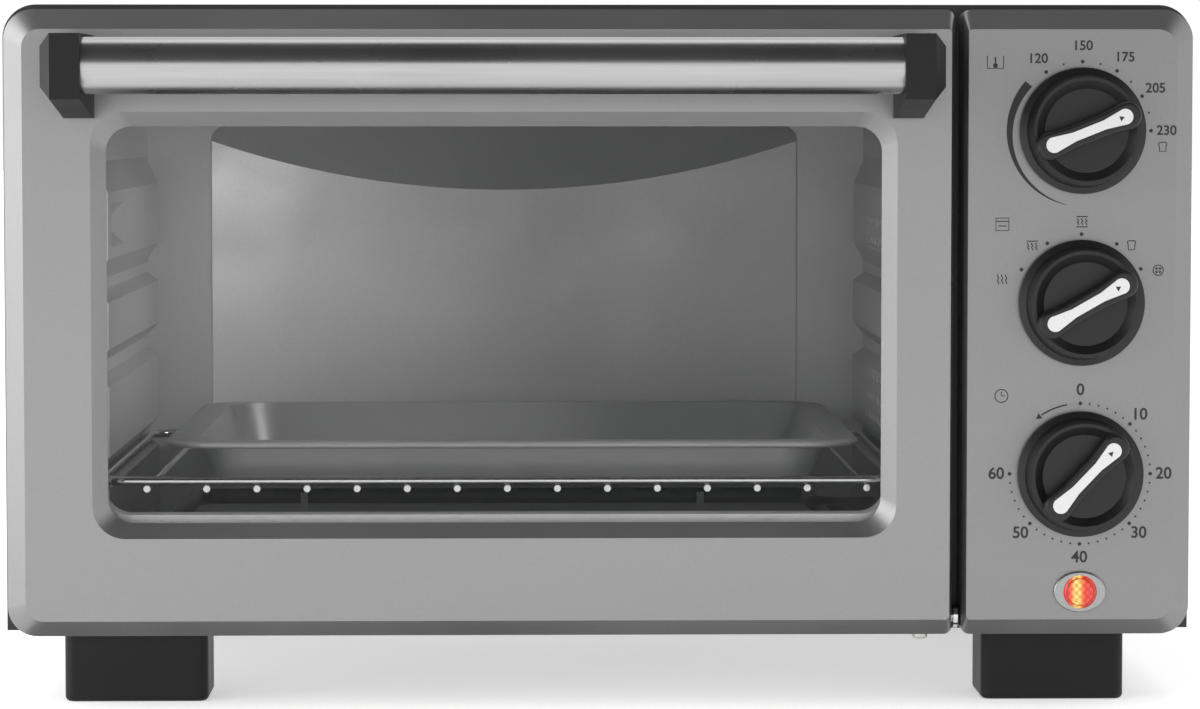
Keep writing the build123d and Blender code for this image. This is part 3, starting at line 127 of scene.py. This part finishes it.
# Middle of each mark, in x and z from the middle of its dial
MARK_PLACES = {
    "warm": ("function", -0.0294, 0.0087),
    "grill": ("function", -0.0183, 0.0208),
    "bake": ("function", 0.0002, 0.0300),
    "toast": ("function", 0.0186, 0.0213),
    "fan": ("function", 0.0286, 0.0120),
    "toast_temperature": ("temperature", 0.0299, -0.0059),
    "thermometer": ("temperature", -0.0323, 0.0260),
    "oven": ("function", -0.0294, 0.02905),
    "clock": ("timer", -0.0294, 0.0290),
}

# Pilot lens: shares of its radius, levels of its painted glow, including a painted shade ring near its rim, and the
# pitch of its moulded grid
LENS_HOT_SHIFT = 0.2
LENS_HOT = 0.16
LENS_COOL = 0.5
LENS_DIMMEST = 0.5
LENS_GRID = 0.0014
LENS_STEP = ((0.74, 1.0), (0.78, 0.3), (0.84, 0.3), (0.88, 1.0))

# Softened edges in metres: the widths that differ from the usual one
USUAL_SOFT_EDGE = 0.0001
SOFT_EDGES = {
    "door_outer_frame": 0.0008, "control_panel": 0.0008, "outer_housing": 0.0003, "rear_cover": 0.0003,
    "handle_bracket_left": 0.0008, "handle_bracket_right": 0.0008, "feet": 0.0006, "temperature_knob": 0.0004,
    "function_knob": 0.0004, "timer_knob": 0.0004, "baking_tray": 0.0002, "pilot_bezel": 0.0002,
    "handle_bar": 0.0002, "cavity_left_wall": 0.0006, "cavity_right_wall": 0.0006, "cavity_rear_wall": 0.0006,
    "door_liner": 0.0003, "crumb_tray": 0.0003,
}
SOFT_EDGE_SEGMENTS = 2
SHARP_ANGLE = 28.0

# Camera
CAMERA_AT = (-0.030, FACE - 1.5, 0.221)
CAMERA_AIM = (0.0, FACE, 0.133)
CAMERA_LENS = 121.8
CAMERA_SENSOR = 36.0

# Studio lamps, all aimed at the oven's middle: place, width, height and power
OVEN_MIDDLE = (0, 0, 0.13)
SOFTBOXES = {
    "left_softbox": ((-1.7, -0.9, 0.8), 1.4, 1.6, 18),
    "right_softbox": ((1.7, -0.9, 0.7), 1.2, 1.4, 1),
    "front_fill": ((-0.2, -3.2, 1.1), 2.6, 1.8, 10),
    "top_softbox": ((0, 0.4, 2.3), 1.6, 1.6, 5),
}

# A small lamp inside the cavity, near its roof, that lights the left of the rear wall
CAVITY_FILL_AT = (0.085, REAR_WALL_LOW.y - 0.21, 0.215)
CAVITY_FILL_AIM = (REAR_WALL_LOW.x, REAR_WALL_LOW.y - 0.08, 0.13)
CAVITY_FILL_WIDTH = 0.06
CAVITY_FILL_HEIGHT = 0.04
CAVITY_FILL_POWER = 0.07
CAVITY_FILL_SPREAD = 80.0

# Black cards: middle, width, height and tilt, where 90 lies flat
FLAGS = {
    "upper_flag": ((0, -1.0, 0.95), 2.4, 1.3, -40),
    "roof_flag": ((0, -0.25, 1.45), 2.4, 0.75, 90),
    # Painted shade: the card on the floor under the door's front edge stands in for the shade there, seen only in the
    # door's bottom bevel
    "lower_flag": ((0, FACE, 0.001), 0.46, 0.014, 90),
}

# World and floor
WHITE = (1, 1, 1, 1)
SKY_LIGHT = 0.8
FLOOR_SIZE = 30
FLOOR_TONE = 0.95
FLOOR_ROUGHNESS = 0.8
FLOOR_GLOW = 0.45

# Socket numbers of a Mix node set to colour
MIX_FACTOR, MIX_A, MIX_B, MIX_RESULT = 0, 6, 7, 2

# Materials: shares and detail of the fine and the broad noise, the noise's useful span and the depth of the relief
FINE_SHARE = 0.55
BROAD_SHARE = 0.45
FINE_DETAIL = 3.0
BROAD_DETAIL = 4.0
NOISE_LOW = 0.3
NOISE_HIGH = 0.7
RELIEF_DEPTH = 0.0001
LENS_RELIEF = 0.4
LENS_RELIEF_DEPTH = 0.0003


class Graph:
    """A node tree with short calls to add and link nodes."""

    def __init__(self, name):
        self.material = bpy.data.materials.new(name)
        self.material.use_nodes = True
        self.tree = self.material.node_tree
        self.tree.nodes.clear()
        self.output = self.add("ShaderNodeOutputMaterial")
        self.shader = self.add("ShaderNodeBsdfPrincipled")
        self.link(self.shader.outputs["BSDF"], self.output, "Surface")
        self.place = self.add("ShaderNodeTexCoord").outputs["Object"]

    def add(self, kind):
        return self.tree.nodes.new(kind)

    def link(self, source, target, socket):
        self.tree.links.new(source, target.inputs[socket])

    def set(self, **values):
        """Sets sockets of the shader, whose names have underscores for spaces here."""
        for name, value in values.items():
            self.shader.inputs[name.replace("_", " ")].default_value = value

    def math(self, operation, first, second=None, third=None):
        """A math node on up to three inputs, each an output or a number."""
        node = self.add("ShaderNodeMath")
        node.operation = operation
        for i, value in enumerate((first, second, third)):
            if isinstance(value, (int, float)):
                node.inputs[i].default_value = value
            elif value is not None:
                self.link(value, node, i)
        return node.outputs["Value"]

    def noise(self, scale, detail, stretch=(1, 1, 1)):
        """A noise texture in object space, stretched by a scale on each axis."""
        mapping = self.add("ShaderNodeMapping")
        mapping.inputs["Scale"].default_value = stretch
        self.link(self.place, mapping, "Vector")
        node = self.add("ShaderNodeTexNoise")
        node.inputs["Scale"].default_value = scale
        node.inputs["Detail"].default_value = detail
        self.link(mapping.outputs["Vector"], node, "Vector")
        return node.outputs["Fac"]

    def span(self, source, low, high, start=NOISE_LOW, end=NOISE_HIGH):
        """A value that runs from low to high while the source runs from start to end."""
        node = self.add("ShaderNodeMapRange")
        node.inputs["From Min"].default_value = start
        node.inputs["From Max"].default_value = end
        node.inputs["To Min"].default_value = low
        node.inputs["To Max"].default_value = high
        self.link(source, node, "Value")
        return node.outputs["Result"]

    def ramp(self, source, first, last, between=()):
        """A colour ramp from a first to a last colour, with others at places between."""
        node = self.add("ShaderNodeValToRGB")
        node.color_ramp.elements[0].color = first
        node.color_ramp.elements[1].color = last
        for place, color in between:
            node.color_ramp.elements.new(place).color = color
        self.link(source, node, "Fac")
        return node.outputs["Color"]

    def bump(self, source, strength, distance):
        """Fine relief from a texture."""
        node = self.add("ShaderNodeBump")
        node.inputs["Strength"].default_value = strength
        node.inputs["Distance"].default_value = distance
        self.link(source, node, "Height")
        self.link(node.outputs["Normal"], self.shader, "Normal")


def surface(name, dark, light, metallic=0.0, rough=(0.3, 0.5), grain=900, stretch=(1, 1, 1), relief=0.05,
            patch=14, specular=0.5):
    """A material whose colour, roughness and relief vary at two scales."""
    graph = Graph(name)
    fine = graph.noise(grain, FINE_DETAIL, stretch)
    broad = graph.noise(patch, BROAD_DETAIL)
    blend = graph.math("MULTIPLY_ADD", fine, FINE_SHARE, graph.math("MULTIPLY", broad, BROAD_SHARE))
    mix = graph.add("ShaderNodeMix")
    mix.data_type = "RGBA"
    mix.inputs[MIX_A].default_value = (*dark, 1)
    mix.inputs[MIX_B].default_value = (*light, 1)
    graph.link(graph.span(blend, 0.0, 1.0), mix, MIX_FACTOR)
    graph.link(mix.outputs[MIX_RESULT], graph.shader, "Base Color")
    graph.link(graph.span(broad, *rough), graph.shader, "Roughness")
    graph.bump(fine, relief, RELIEF_DEPTH)
    graph.set(Metallic=metallic, Specular_IOR_Level=specular)
    return graph.material


def grey(value, warm=0.0):
    """A near-neutral colour."""
    return (value * (1 + warm), value, value * (1 - warm))


def glass():
    """Clear door glass that lets light through, with faint smears in its gloss."""
    graph = Graph("clear_glass")
    graph.set(Base_Color=(0.04, 0.045, 0.045, 1), Alpha=0.09)
    smear = graph.noise(22, 5.0)
    graph.link(graph.span(smear, 0.02, 0.07), graph.shader, "Roughness")
    return graph.material


def lens():
    """Red pilot lens whose glow is painted light of the lamp behind it: brightest in a strip left of its middle, with
    a painted glint on the squares of its moulded grid and a painted shade ring at a step near the rim.
    """
    graph = Graph("lens_red")
    centre, radius = (LENS_LOW + LENS_HIGH) / 2, (LENS_HIGH.x - LENS_LOW.x) / 2
    split = graph.add("ShaderNodeSeparateXYZ")
    graph.link(graph.place, split, "Vector")
    # Painted light: the lens glows with the light of the lamp behind it, brightest in a strip left of its middle
    across = graph.math("SUBTRACT", split.outputs["X"], centre.x - LENS_HOT_SHIFT * radius)
    heat = graph.span(graph.math("ABSOLUTE", across), 0.0, 1.0, LENS_COOL * radius, LENS_HOT * radius)
    color = graph.ramp(heat, (0.62, 0.035, 0.02, 1), (1.0, 0.78, 0.2, 1), [(0.5, (1.0, 0.2, 0.03, 1))])
    graph.link(color, graph.shader, "Emission Color")
    grid = graph.add("ShaderNodeTexChecker")
    grid.inputs["Scale"].default_value = 1 / LENS_GRID
    graph.link(graph.place, grid, "Vector")
    # Painted glint: the squares of the moulded grid glow alternately brighter and dimmer
    facet_glint = graph.span(grid.outputs["Fac"], LENS_DIMMEST, 1.0, 0.0, 1.0)
    reach = graph.add("ShaderNodeVectorMath")
    # Painted shade: the glow drops in a ring at a step near the rim
    reach.operation = "DISTANCE"
    reach.inputs[1].default_value = (centre.x, LENS_LOW.y, centre.z)
    graph.link(graph.place, reach, 0)
    share = graph.math("DIVIDE", reach.outputs["Value"], radius)
    rim = [(place, (level, level, level, 1)) for place, level in LENS_STEP]
    step = graph.ramp(share, WHITE, WHITE, rim)
    graph.link(graph.math("MULTIPLY", facet_glint, step), graph.shader, "Emission Strength")
    graph.set(Base_Color=(0.35, 0.02, 0.01, 1), Coat_Weight=0.3, Roughness=0.25)
    graph.bump(grid.outputs["Fac"], LENS_RELIEF, LENS_RELIEF_DEPTH)
    return graph.material


def glow():
    """The lit gas of the pilot lamp."""
    graph = Graph("lamp_glow")
    cloud = graph.noise(300, 2.0)
    graph.link(graph.span(cloud, 0.2, 0.4), graph.shader, "Roughness")
    graph.set(Base_Color=(1.0, 0.5, 0.2, 1), Emission_Color=(1.0, 0.45, 0.15, 1), Emission_Strength=1.5)
    return graph.material


# Looks: dark and light colour, metal, roughness span and grains per metre, then what differs from the usual
LOOKS = {
    "door_silver": (grey(0.27), grey(0.305), 0.85, (0.34, 0.42), 1500, {}),
    "panel_silver": (grey(0.245), grey(0.28), 0.85, (0.36, 0.44), 1500, {}),
    "black_enamel": (grey(0.012), grey(0.018), 0.0, (0.42, 0.47), 700, {"relief": 0.12, "patch": 70}),
    "galvanised": (grey(0.38), grey(0.5), 1.0, (0.35, 0.5), 60, {"patch": 90}),
    "aluminised": (grey(0.56), grey(0.66), 0.5, (0.42, 0.55), 900, {"relief": 0.1, "patch": 25}),
    "black_plastic": (grey(0.006), grey(0.010), 0.0, (0.4, 0.52), 1600, {"relief": 0.25, "specular": 0.28}),
    "knob_black": (grey(0.006), grey(0.010), 0.0, (0.34, 0.44), 1800, {"relief": 0.2, "specular": 0.42}),
    "inlay_silver": (grey(0.62), grey(0.7), 0.9, (0.28, 0.36), 1500, {}),
    "bezel_silver": (grey(0.30), grey(0.36), 0.9, (0.24, 0.3), 400, {"relief": 0.01}),
    "stainless": (grey(0.37), grey(0.45), 1.0, (0.24, 0.31), 900, {"stretch": (0.02, 1, 1), "relief": 0.06}),
    "chrome_wire": (grey(0.55), grey(0.66), 1.0, (0.12, 0.22), 500, {"relief": 0.04}),
    "zinc_screw": (grey(0.45, 0.02), grey(0.56, 0.03), 1.0, (0.3, 0.4), 700, {"relief": 0.06}),
    "tray_enamel": (grey(0.31), grey(0.38), 0.35, (0.36, 0.46), 1300, {"relief": 0.16}),
    "element_steel": (grey(0.07, 0.04), grey(0.14, 0.05), 0.8, (0.4, 0.6), 500, {"relief": 0.15}),
    "steatite": (grey(0.66, 0.05), grey(0.75, 0.05), 0.0, (0.55, 0.7), 800, {"relief": 0.1}),
    "seal_rubber": (grey(0.015), grey(0.03), 0.0, (0.6, 0.75), 900, {"relief": 0.2}),
    "shaft_steel": (grey(0.42), grey(0.5), 1.0, (0.25, 0.35), 900, {}),
    "lamination_steel": (grey(0.12), grey(0.26), 1.0, (0.4, 0.5), 1500, {"stretch": (2, 0.02, 0.02), "relief": 0.3}),
    "coil_tape": ((0.55, 0.34, 0.04), (0.66, 0.44, 0.06), 0.0, (0.4, 0.5), 600, {"relief": 0.1}),
    "control_body": ((0.10, 0.06, 0.04), (0.14, 0.09, 0.06), 0.0, (0.3, 0.4), 600, {"relief": 0.08}),
    "nylon_white": (grey(0.66, 0.02), grey(0.72, 0.02), 0.0, (0.4, 0.5), 700, {"relief": 0.06}),
    "wire_insulation": (grey(0.5), grey(0.58), 0.0, (0.45, 0.55), 900, {"relief": 0.08}),
    "print_ink": (grey(0.012), grey(0.018), 0.0, (0.45, 0.55), 1500, {}),
}
MATERIALS = {name: surface(name, *look, **more) for name, (*look, more) in LOOKS.items()}
MATERIALS["clear_glass"] = glass()
MATERIALS["lens_red"] = lens()
MATERIALS["lamp_glow"] = glow()
SLOTS = {entry["node"]: entry["material_slot"] for entry in frame["record"]["subparts"]}

# Smooth shading and softened edges on the CAD nodes
for name, node in frame["nodes"].items():
    node.data.materials.clear()
    node.data.materials.append(MATERIALS[SLOTS[name]])
    node.data.polygons.foreach_set("use_smooth", [True] * len(node.data.polygons))
    node.data.polygons.foreach_set("material_index", [0] * len(node.data.polygons))
    bevel = node.modifiers.new("soft_edge", "BEVEL")
    bevel.width = SOFT_EDGES.get(name, USUAL_SOFT_EDGE)
    bevel.segments = SOFT_EDGE_SEGMENTS
    bevel.limit_method = "ANGLE"
    bevel.angle_limit = math.radians(SHARP_ANGLE)
    bevel.harden_normals = True


def dial_centre(name):
    """The (x, z) point in the middle of a knob."""
    low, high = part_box(f"{name}_knob")
    return ((low.x + high.x) / 2, (low.z + high.z) / 2)


CENTRES = {name: dial_centre(name) for name in POINTER_ANGLES}


def place_object(name, data):
    """Puts mesh, curve or lamp data in the scene as an object."""
    thing = bpy.data.objects.new(name, data)
    bpy.context.scene.collection.objects.link(thing)
    return thing


def printed(name, data, body="oven_body", at=(0, 0, 0), turn=(0, 0, 0)):
    """Places a printed piece, gives it its ink and puts it on its body."""
    piece = place_object(name, data)
    piece.location = at
    piece.rotation_euler = turn
    piece.data.materials.append(MATERIALS["print_ink"])
    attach(piece, body)
    return piece


def plate(name, outline, y=FACE, thickness=PRINT_THICKNESS, body="oven_body"):
    """A thin flat shape from an outline of (x, z) points, standing just proud of a front."""
    count = len(outline)
    vertices = [(px, y - thickness, pz) for px, pz in outline] + [(px, y, pz) for px, pz in outline]
    faces = [tuple(range(count)), tuple(range(2 * count - 1, count - 1, -1))]
    faces += [(i, i + count, (i + 1) % count + count, (i + 1) % count) for i in range(count)]
    mesh = bpy.data.meshes.new(name)
    mesh.from_pydata(vertices, [], faces)
    mesh.update()
    return printed(name, mesh, body)


def around(x, z, radius, angle):
    """The (x, z) point at an angle above +X, seen from the front."""
    turn = math.radians(angle)
    return (x + radius * math.cos(turn), z + radius * math.sin(turn))


def polygon(x, z, radius, sides, first=0.0):
    """The corners of a regular polygon, the first at a given angle."""
    return [around(x, z, radius, first + 360 * i / sides) for i in range(sides)]


def dot(name, x, z, radius):
    """A round printed dot."""
    return plate(name, polygon(x, z, radius, DOT_SIDES))


def band(name, x, z, start, end, outer, inner_at_start, inner_at_end, steps=48):
    """A curved printed band whose inner edge moves from one radius to another."""
    shares = [i / steps for i in range(steps + 1)]
    rim = [around(x, z, outer, start + (end - start) * share) for share in shares]
    inner = [around(x, z, inner_at_start + (inner_at_end - inner_at_start) * share, start + (end - start) * share)
             for share in shares]
    return plate(name, rim + inner[::-1])


def stroke(name, points, closed=False, width=THIN_STROKE):
    """A printed line along (x, z) points, half sunk in the panel."""
    curve = bpy.data.curves.new(name, "CURVE")
    curve.dimensions = "3D"
    curve.bevel_depth = width
    curve.bevel_resolution = 2
    spline = curve.splines.new("POLY")
    spline.points.add(len(points) - 1)
    for point, (x, z) in zip(spline.points, points):
        point.co = (x, FACE, z, 1)
    spline.use_cyclic_u = closed
    return printed(name, curve)


def number(name, text, x, z, size):
    """A printed number, upright and centred on (x, z)."""
    curve = bpy.data.curves.new(name, "FONT")
    curve.body = text
    curve.size = size
    curve.align_x = "CENTER"
    curve.align_y = "CENTER"
    curve.extrude = PRINT_THICKNESS / 2
    curve.offset = size * NUMBER_WEIGHT
    return printed(name, curve, at=(x, FACE - PRINT_THICKNESS / 2, z), turn=(math.pi / 2, 0, 0))


# Temperature dial
middle = CENTRES["temperature"]
for i, (text, angle) in enumerate(TEMPERATURES):
    dot(f"temperature_dot_{i}", *around(*middle, TEMPERATURE_RADIUS, angle), DOT_RADIUS)
    number(f"temperature_number_{i}", text, *around(*middle, NUMBER_RADIUS, angle), NUMBER_SIZE)
for i, ((_, first), (_, second)) in enumerate(zip(TEMPERATURES, TEMPERATURES[1:])):
    dot(f"temperature_half_{i}", *around(*middle, TEMPERATURE_RADIUS, (first + second) / 2), SMALL_DOT_RADIUS)
band("temperature_wedge", *middle, WEDGE_START, WEDGE_END, WEDGE_OUTER, WEDGE_OUTER - WEDGE_THICKNESS,
     WEDGE_OUTER - WEDGE_END_THICKNESS)

# Function dial
for i, angle in enumerate(FUNCTION_ANGLES):
    dot(f"function_dot_{i}", *around(*CENTRES["function"], FUNCTION_RADIUS, angle), DOT_RADIUS)

# Timer dial: the numbers run clockwise from the top, with small dots between them
middle = CENTRES["timer"]
for i in range(TIMER_STEPS + 1):
    angle = 90 - TIMER_STEP * i
    dot(f"timer_dot_{i}", *around(*middle, TIMER_RADIUS, angle), DOT_RADIUS)
    number(f"timer_number_{i}", str(MINUTES_PER_NUMBER * i), *around(*middle, TIMER_NUMBER_RADIUS, angle),
           TIMER_NUMBER_SIZE)
    for j in range(1, SMALL_DOTS_PER_STEP if i < TIMER_STEPS else 1):
        small_angle = angle - TIMER_STEP / SMALL_DOTS_PER_STEP * j
        dot(f"timer_minute_{i}_{j}", *around(*middle, TIMER_RADIUS, small_angle), SMALL_DOT_RADIUS)
stroke("timer_arrow", [around(*middle, TIMER_RADIUS, ARROW_START + ARROW_TURN * i) for i in range(ARROW_POINTS)],
       width=STROKE)
tip = around(*middle, TIMER_RADIUS, ARROW_TIP)
plate("timer_arrow_head", polygon(*tip, ARROW_HEAD_RADIUS, 3, ARROW_HEAD_ANGLE))


def waves(name, x, z, height):
    """Rising heat lines, each of two full swings."""
    for i in range(WAVE_COUNT):
        left = x + (i - (WAVE_COUNT - 1) / 2) * WAVE_PITCH
        shares = [k / WAVE_POINTS for k in range(WAVE_POINTS + 1)]
        points = [(left + WAVE_SWING * math.sin(share * 4 * math.pi), z + height * (share - 0.5)) for share in shares]
        stroke(f"{name}_{i}", points)


def flat_line(name, x, z, length):
    """A short level line."""
    stroke(name, [(x - length / 2, z), (x + length / 2, z)])


def slice_of_bread(name, x, z):
    """A slice of bread in outline: straight sides under two round shoulders."""
    points = [(x - BREAD_SIDE, z - BREAD_LOW), (x + BREAD_SIDE, z - BREAD_LOW), (x + BREAD_SIDE, z + BREAD_BROW)]
    points += [around(x + SHOULDER_OUT, z + SHOULDER_RISE, SHOULDER_RADIUS, angle) for angle in SHOULDER_ANGLES]
    points += [around(x - SHOULDER_OUT, z + SHOULDER_RISE, SHOULDER_RADIUS, 180 - angle)
               for angle in reversed(SHOULDER_ANGLES)]
    points += [(x - BREAD_SIDE, z + BREAD_BROW)]
    stroke(name, points, True)


def mark_place(name):
    """The (x, z) middle of a mark on the panel."""
    dial, x, z = MARK_PLACES[name]
    return (CENTRES[dial][0] + x, CENTRES[dial][1] + z)


# Function marks
waves("mark_warm", *mark_place("warm"), WAVE_HEIGHT)
x, z = mark_place("grill")
waves("mark_grill", x, z, GRILL_WAVE_HEIGHT)
flat_line("mark_grill_top", x, z + GRILL_BAR_RISE, BAR_LENGTH)
x, z = mark_place("bake")
waves("mark_bake", x, z, BAKE_WAVE_HEIGHT)
flat_line("mark_bake_top", x, z + BAKE_BAR_RISE, BAR_LENGTH)
flat_line("mark_bake_low", x, z - BAKE_BAR_RISE, BAR_LENGTH)
slice_of_bread("mark_toast", *mark_place("toast"))
x, z = mark_place("fan")
stroke("mark_fan_ring", polygon(x, z, FAN_RING_RADIUS, RING_SIDES), True)
for i, blade in enumerate(polygon(x, z, FAN_BLADE_PLACE, FAN_BLADES, 45)):
    plate(f"mark_fan_blade_{i}", polygon(*blade, FAN_BLADE_RADIUS, FAN_BLADE_SIDES))
slice_of_bread("mark_toast_temperature", *mark_place("toast_temperature"))

# Marks beside each dial: thermometer, oven and clock
x, z = mark_place("thermometer")
stroke("mark_thermometer", [(x, z + STEM_HIGH), (x, z - STEM_LOW)], width=STROKE)
plate("mark_thermometer_bulb", polygon(x, z - BULB_DROP, BULB_RADIUS, BULB_SIDES))
stroke("mark_thermometer_box", [(x - CUP_HALF, z + CUP_HIGH), (x - CUP_HALF, z - CUP_HALF),
                                (x + CUP_HALF, z - CUP_HALF), (x + CUP_HALF, z + CUP_HIGH)])
x, z = mark_place("oven")
stroke("mark_oven", [(x - OVEN_HALF_WIDTH, z - OVEN_HALF_HEIGHT), (x + OVEN_HALF_WIDTH, z - OVEN_HALF_HEIGHT),
                     (x + OVEN_HALF_WIDTH, z + OVEN_HALF_HEIGHT), (x - OVEN_HALF_WIDTH, z + OVEN_HALF_HEIGHT)], True)
flat_line("mark_oven_top", x, z + OVEN_TOP_RISE, OVEN_TOP_LENGTH)
flat_line("mark_oven_shelf", x, z - OVEN_SHELF_DROP, OVEN_SHELF_LENGTH)
x, z = mark_place("clock")
stroke("mark_clock", polygon(x, z, CLOCK_RADIUS, RING_SIDES), True)
stroke("mark_clock_hands", [(x, z + LONG_HAND), (x, z), (x + SHORT_HAND, z)])

# Each pointer carries a small triangle near its tip
for name, angle in POINTER_ANGLES.items():
    tip = around(*CENTRES[name], TIP_MARK_PLACE, angle)
    plate(f"{name}_tip_mark", polygon(*tip, TIP_MARK_RADIUS, 3, angle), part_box(f"{name}_pointer")[0].y,
          TIP_MARK_THICKNESS, f"{name}_control")


def seen_directly(tree):
    """1 for rays from the camera, from gloss and through glass, and 0 for light that falls on things."""
    path = tree.nodes.new("ShaderNodeLightPath")
    total = path.outputs["Is Camera Ray"]
    for ray in ("Is Glossy Ray", "Is Transmission Ray"):
        add = tree.nodes.new("ShaderNodeMath")
        add.operation = "ADD"
        add.use_clamp = True
        tree.links.new(total, add.inputs[0])
        tree.links.new(path.outputs[ray], add.inputs[1])
        total = add.outputs["Value"]
    return total


# Stage: a pale floor that keeps the shadow
bpy.ops.mesh.primitive_plane_add(size=FLOOR_SIZE, location=(0, 0, 0))
floor = bpy.context.object
floor.name = "floor"
floor_graph = Graph("floor")
floor_graph.set(Roughness=FLOOR_ROUGHNESS, Base_Color=(*grey(FLOOR_TONE), 1), Emission_Color=WHITE)
floor_glow = floor_graph.math("MULTIPLY", seen_directly(floor_graph.tree), FLOOR_GLOW)
floor_graph.link(floor_glow, floor_graph.shader, "Emission Strength")
floor.data.materials.append(floor_graph.material)


def aimed(thing, at, aim):
    """Puts a lamp or camera at a point and turns it to another."""
    thing.location = at
    thing.rotation_euler = (Vector(aim) - Vector(at)).to_track_quat("-Z", "Y").to_euler()


def softbox(name, at, aim, width, height, power):
    """A rectangular studio lamp."""
    lamp = bpy.data.lights.new(name, "AREA")
    lamp.shape = "RECTANGLE"
    lamp.size = width
    lamp.size_y = height
    lamp.energy = power
    holder = place_object(name, lamp)
    aimed(holder, at, aim)
    return holder


def flag(name, centre, width, height, tilt):
    """A black card that only metal and gloss reflect, as a studio hangs to darken an edge; the card on the floor
    under the door is painted shade for the reflections.
    """
    mesh = bpy.data.meshes.new(name)
    corners = ((-1, -1), (1, -1), (1, 1), (-1, 1))
    mesh.from_pydata([(i * width / 2, 0, j * height / 2) for i, j in corners], [], [(0, 1, 2, 3)])
    card = place_object(name, mesh)
    card.location = centre
    card.rotation_euler = (math.radians(tilt), 0, 0)
    card.data.materials.append(MATERIALS["print_ink"])
    card.visible_camera = False
    card.visible_diffuse = False
    card.visible_shadow = False


for name, (centre, width, height, tilt) in FLAGS.items():
    flag(name, centre, width, height, tilt)
for name, (at, width, height, power) in SOFTBOXES.items():
    softbox(name, at, OVEN_MIDDLE, width, height, power)
inside = softbox("cavity_fill", CAVITY_FILL_AT, CAVITY_FILL_AIM, CAVITY_FILL_WIDTH, CAVITY_FILL_HEIGHT,
                 CAVITY_FILL_POWER)
inside.data.spread = math.radians(CAVITY_FILL_SPREAD)
inside.visible_camera = False

# World: soft light on the oven, and plain white where it is seen directly
world = bpy.data.worlds.new("studio")
bpy.context.scene.world = world
world.use_nodes = True
tree = world.node_tree
sky = tree.nodes["Background"]
sky.inputs["Color"].default_value = WHITE
sky.inputs["Strength"].default_value = SKY_LIGHT
backdrop = tree.nodes.new("ShaderNodeBackground")
backdrop.inputs["Color"].default_value = WHITE
choose = tree.nodes.new("ShaderNodeMixShader")
tree.links.new(seen_directly(tree), choose.inputs["Fac"])
tree.links.new(sky.outputs["Background"], choose.inputs[1])
tree.links.new(backdrop.outputs["Background"], choose.inputs[2])
tree.links.new(choose.outputs["Shader"], tree.nodes["World Output"].inputs["Surface"])

camera = place_object("camera", bpy.data.cameras.new("camera"))
aimed(camera, CAMERA_AT, CAMERA_AIM)
camera.data.lens = CAMERA_LENS
camera.data.sensor_width = CAMERA_SENSOR
bpy.context.scene.camera = camera
bpy.context.scene.view_settings.view_transform = "Standard"
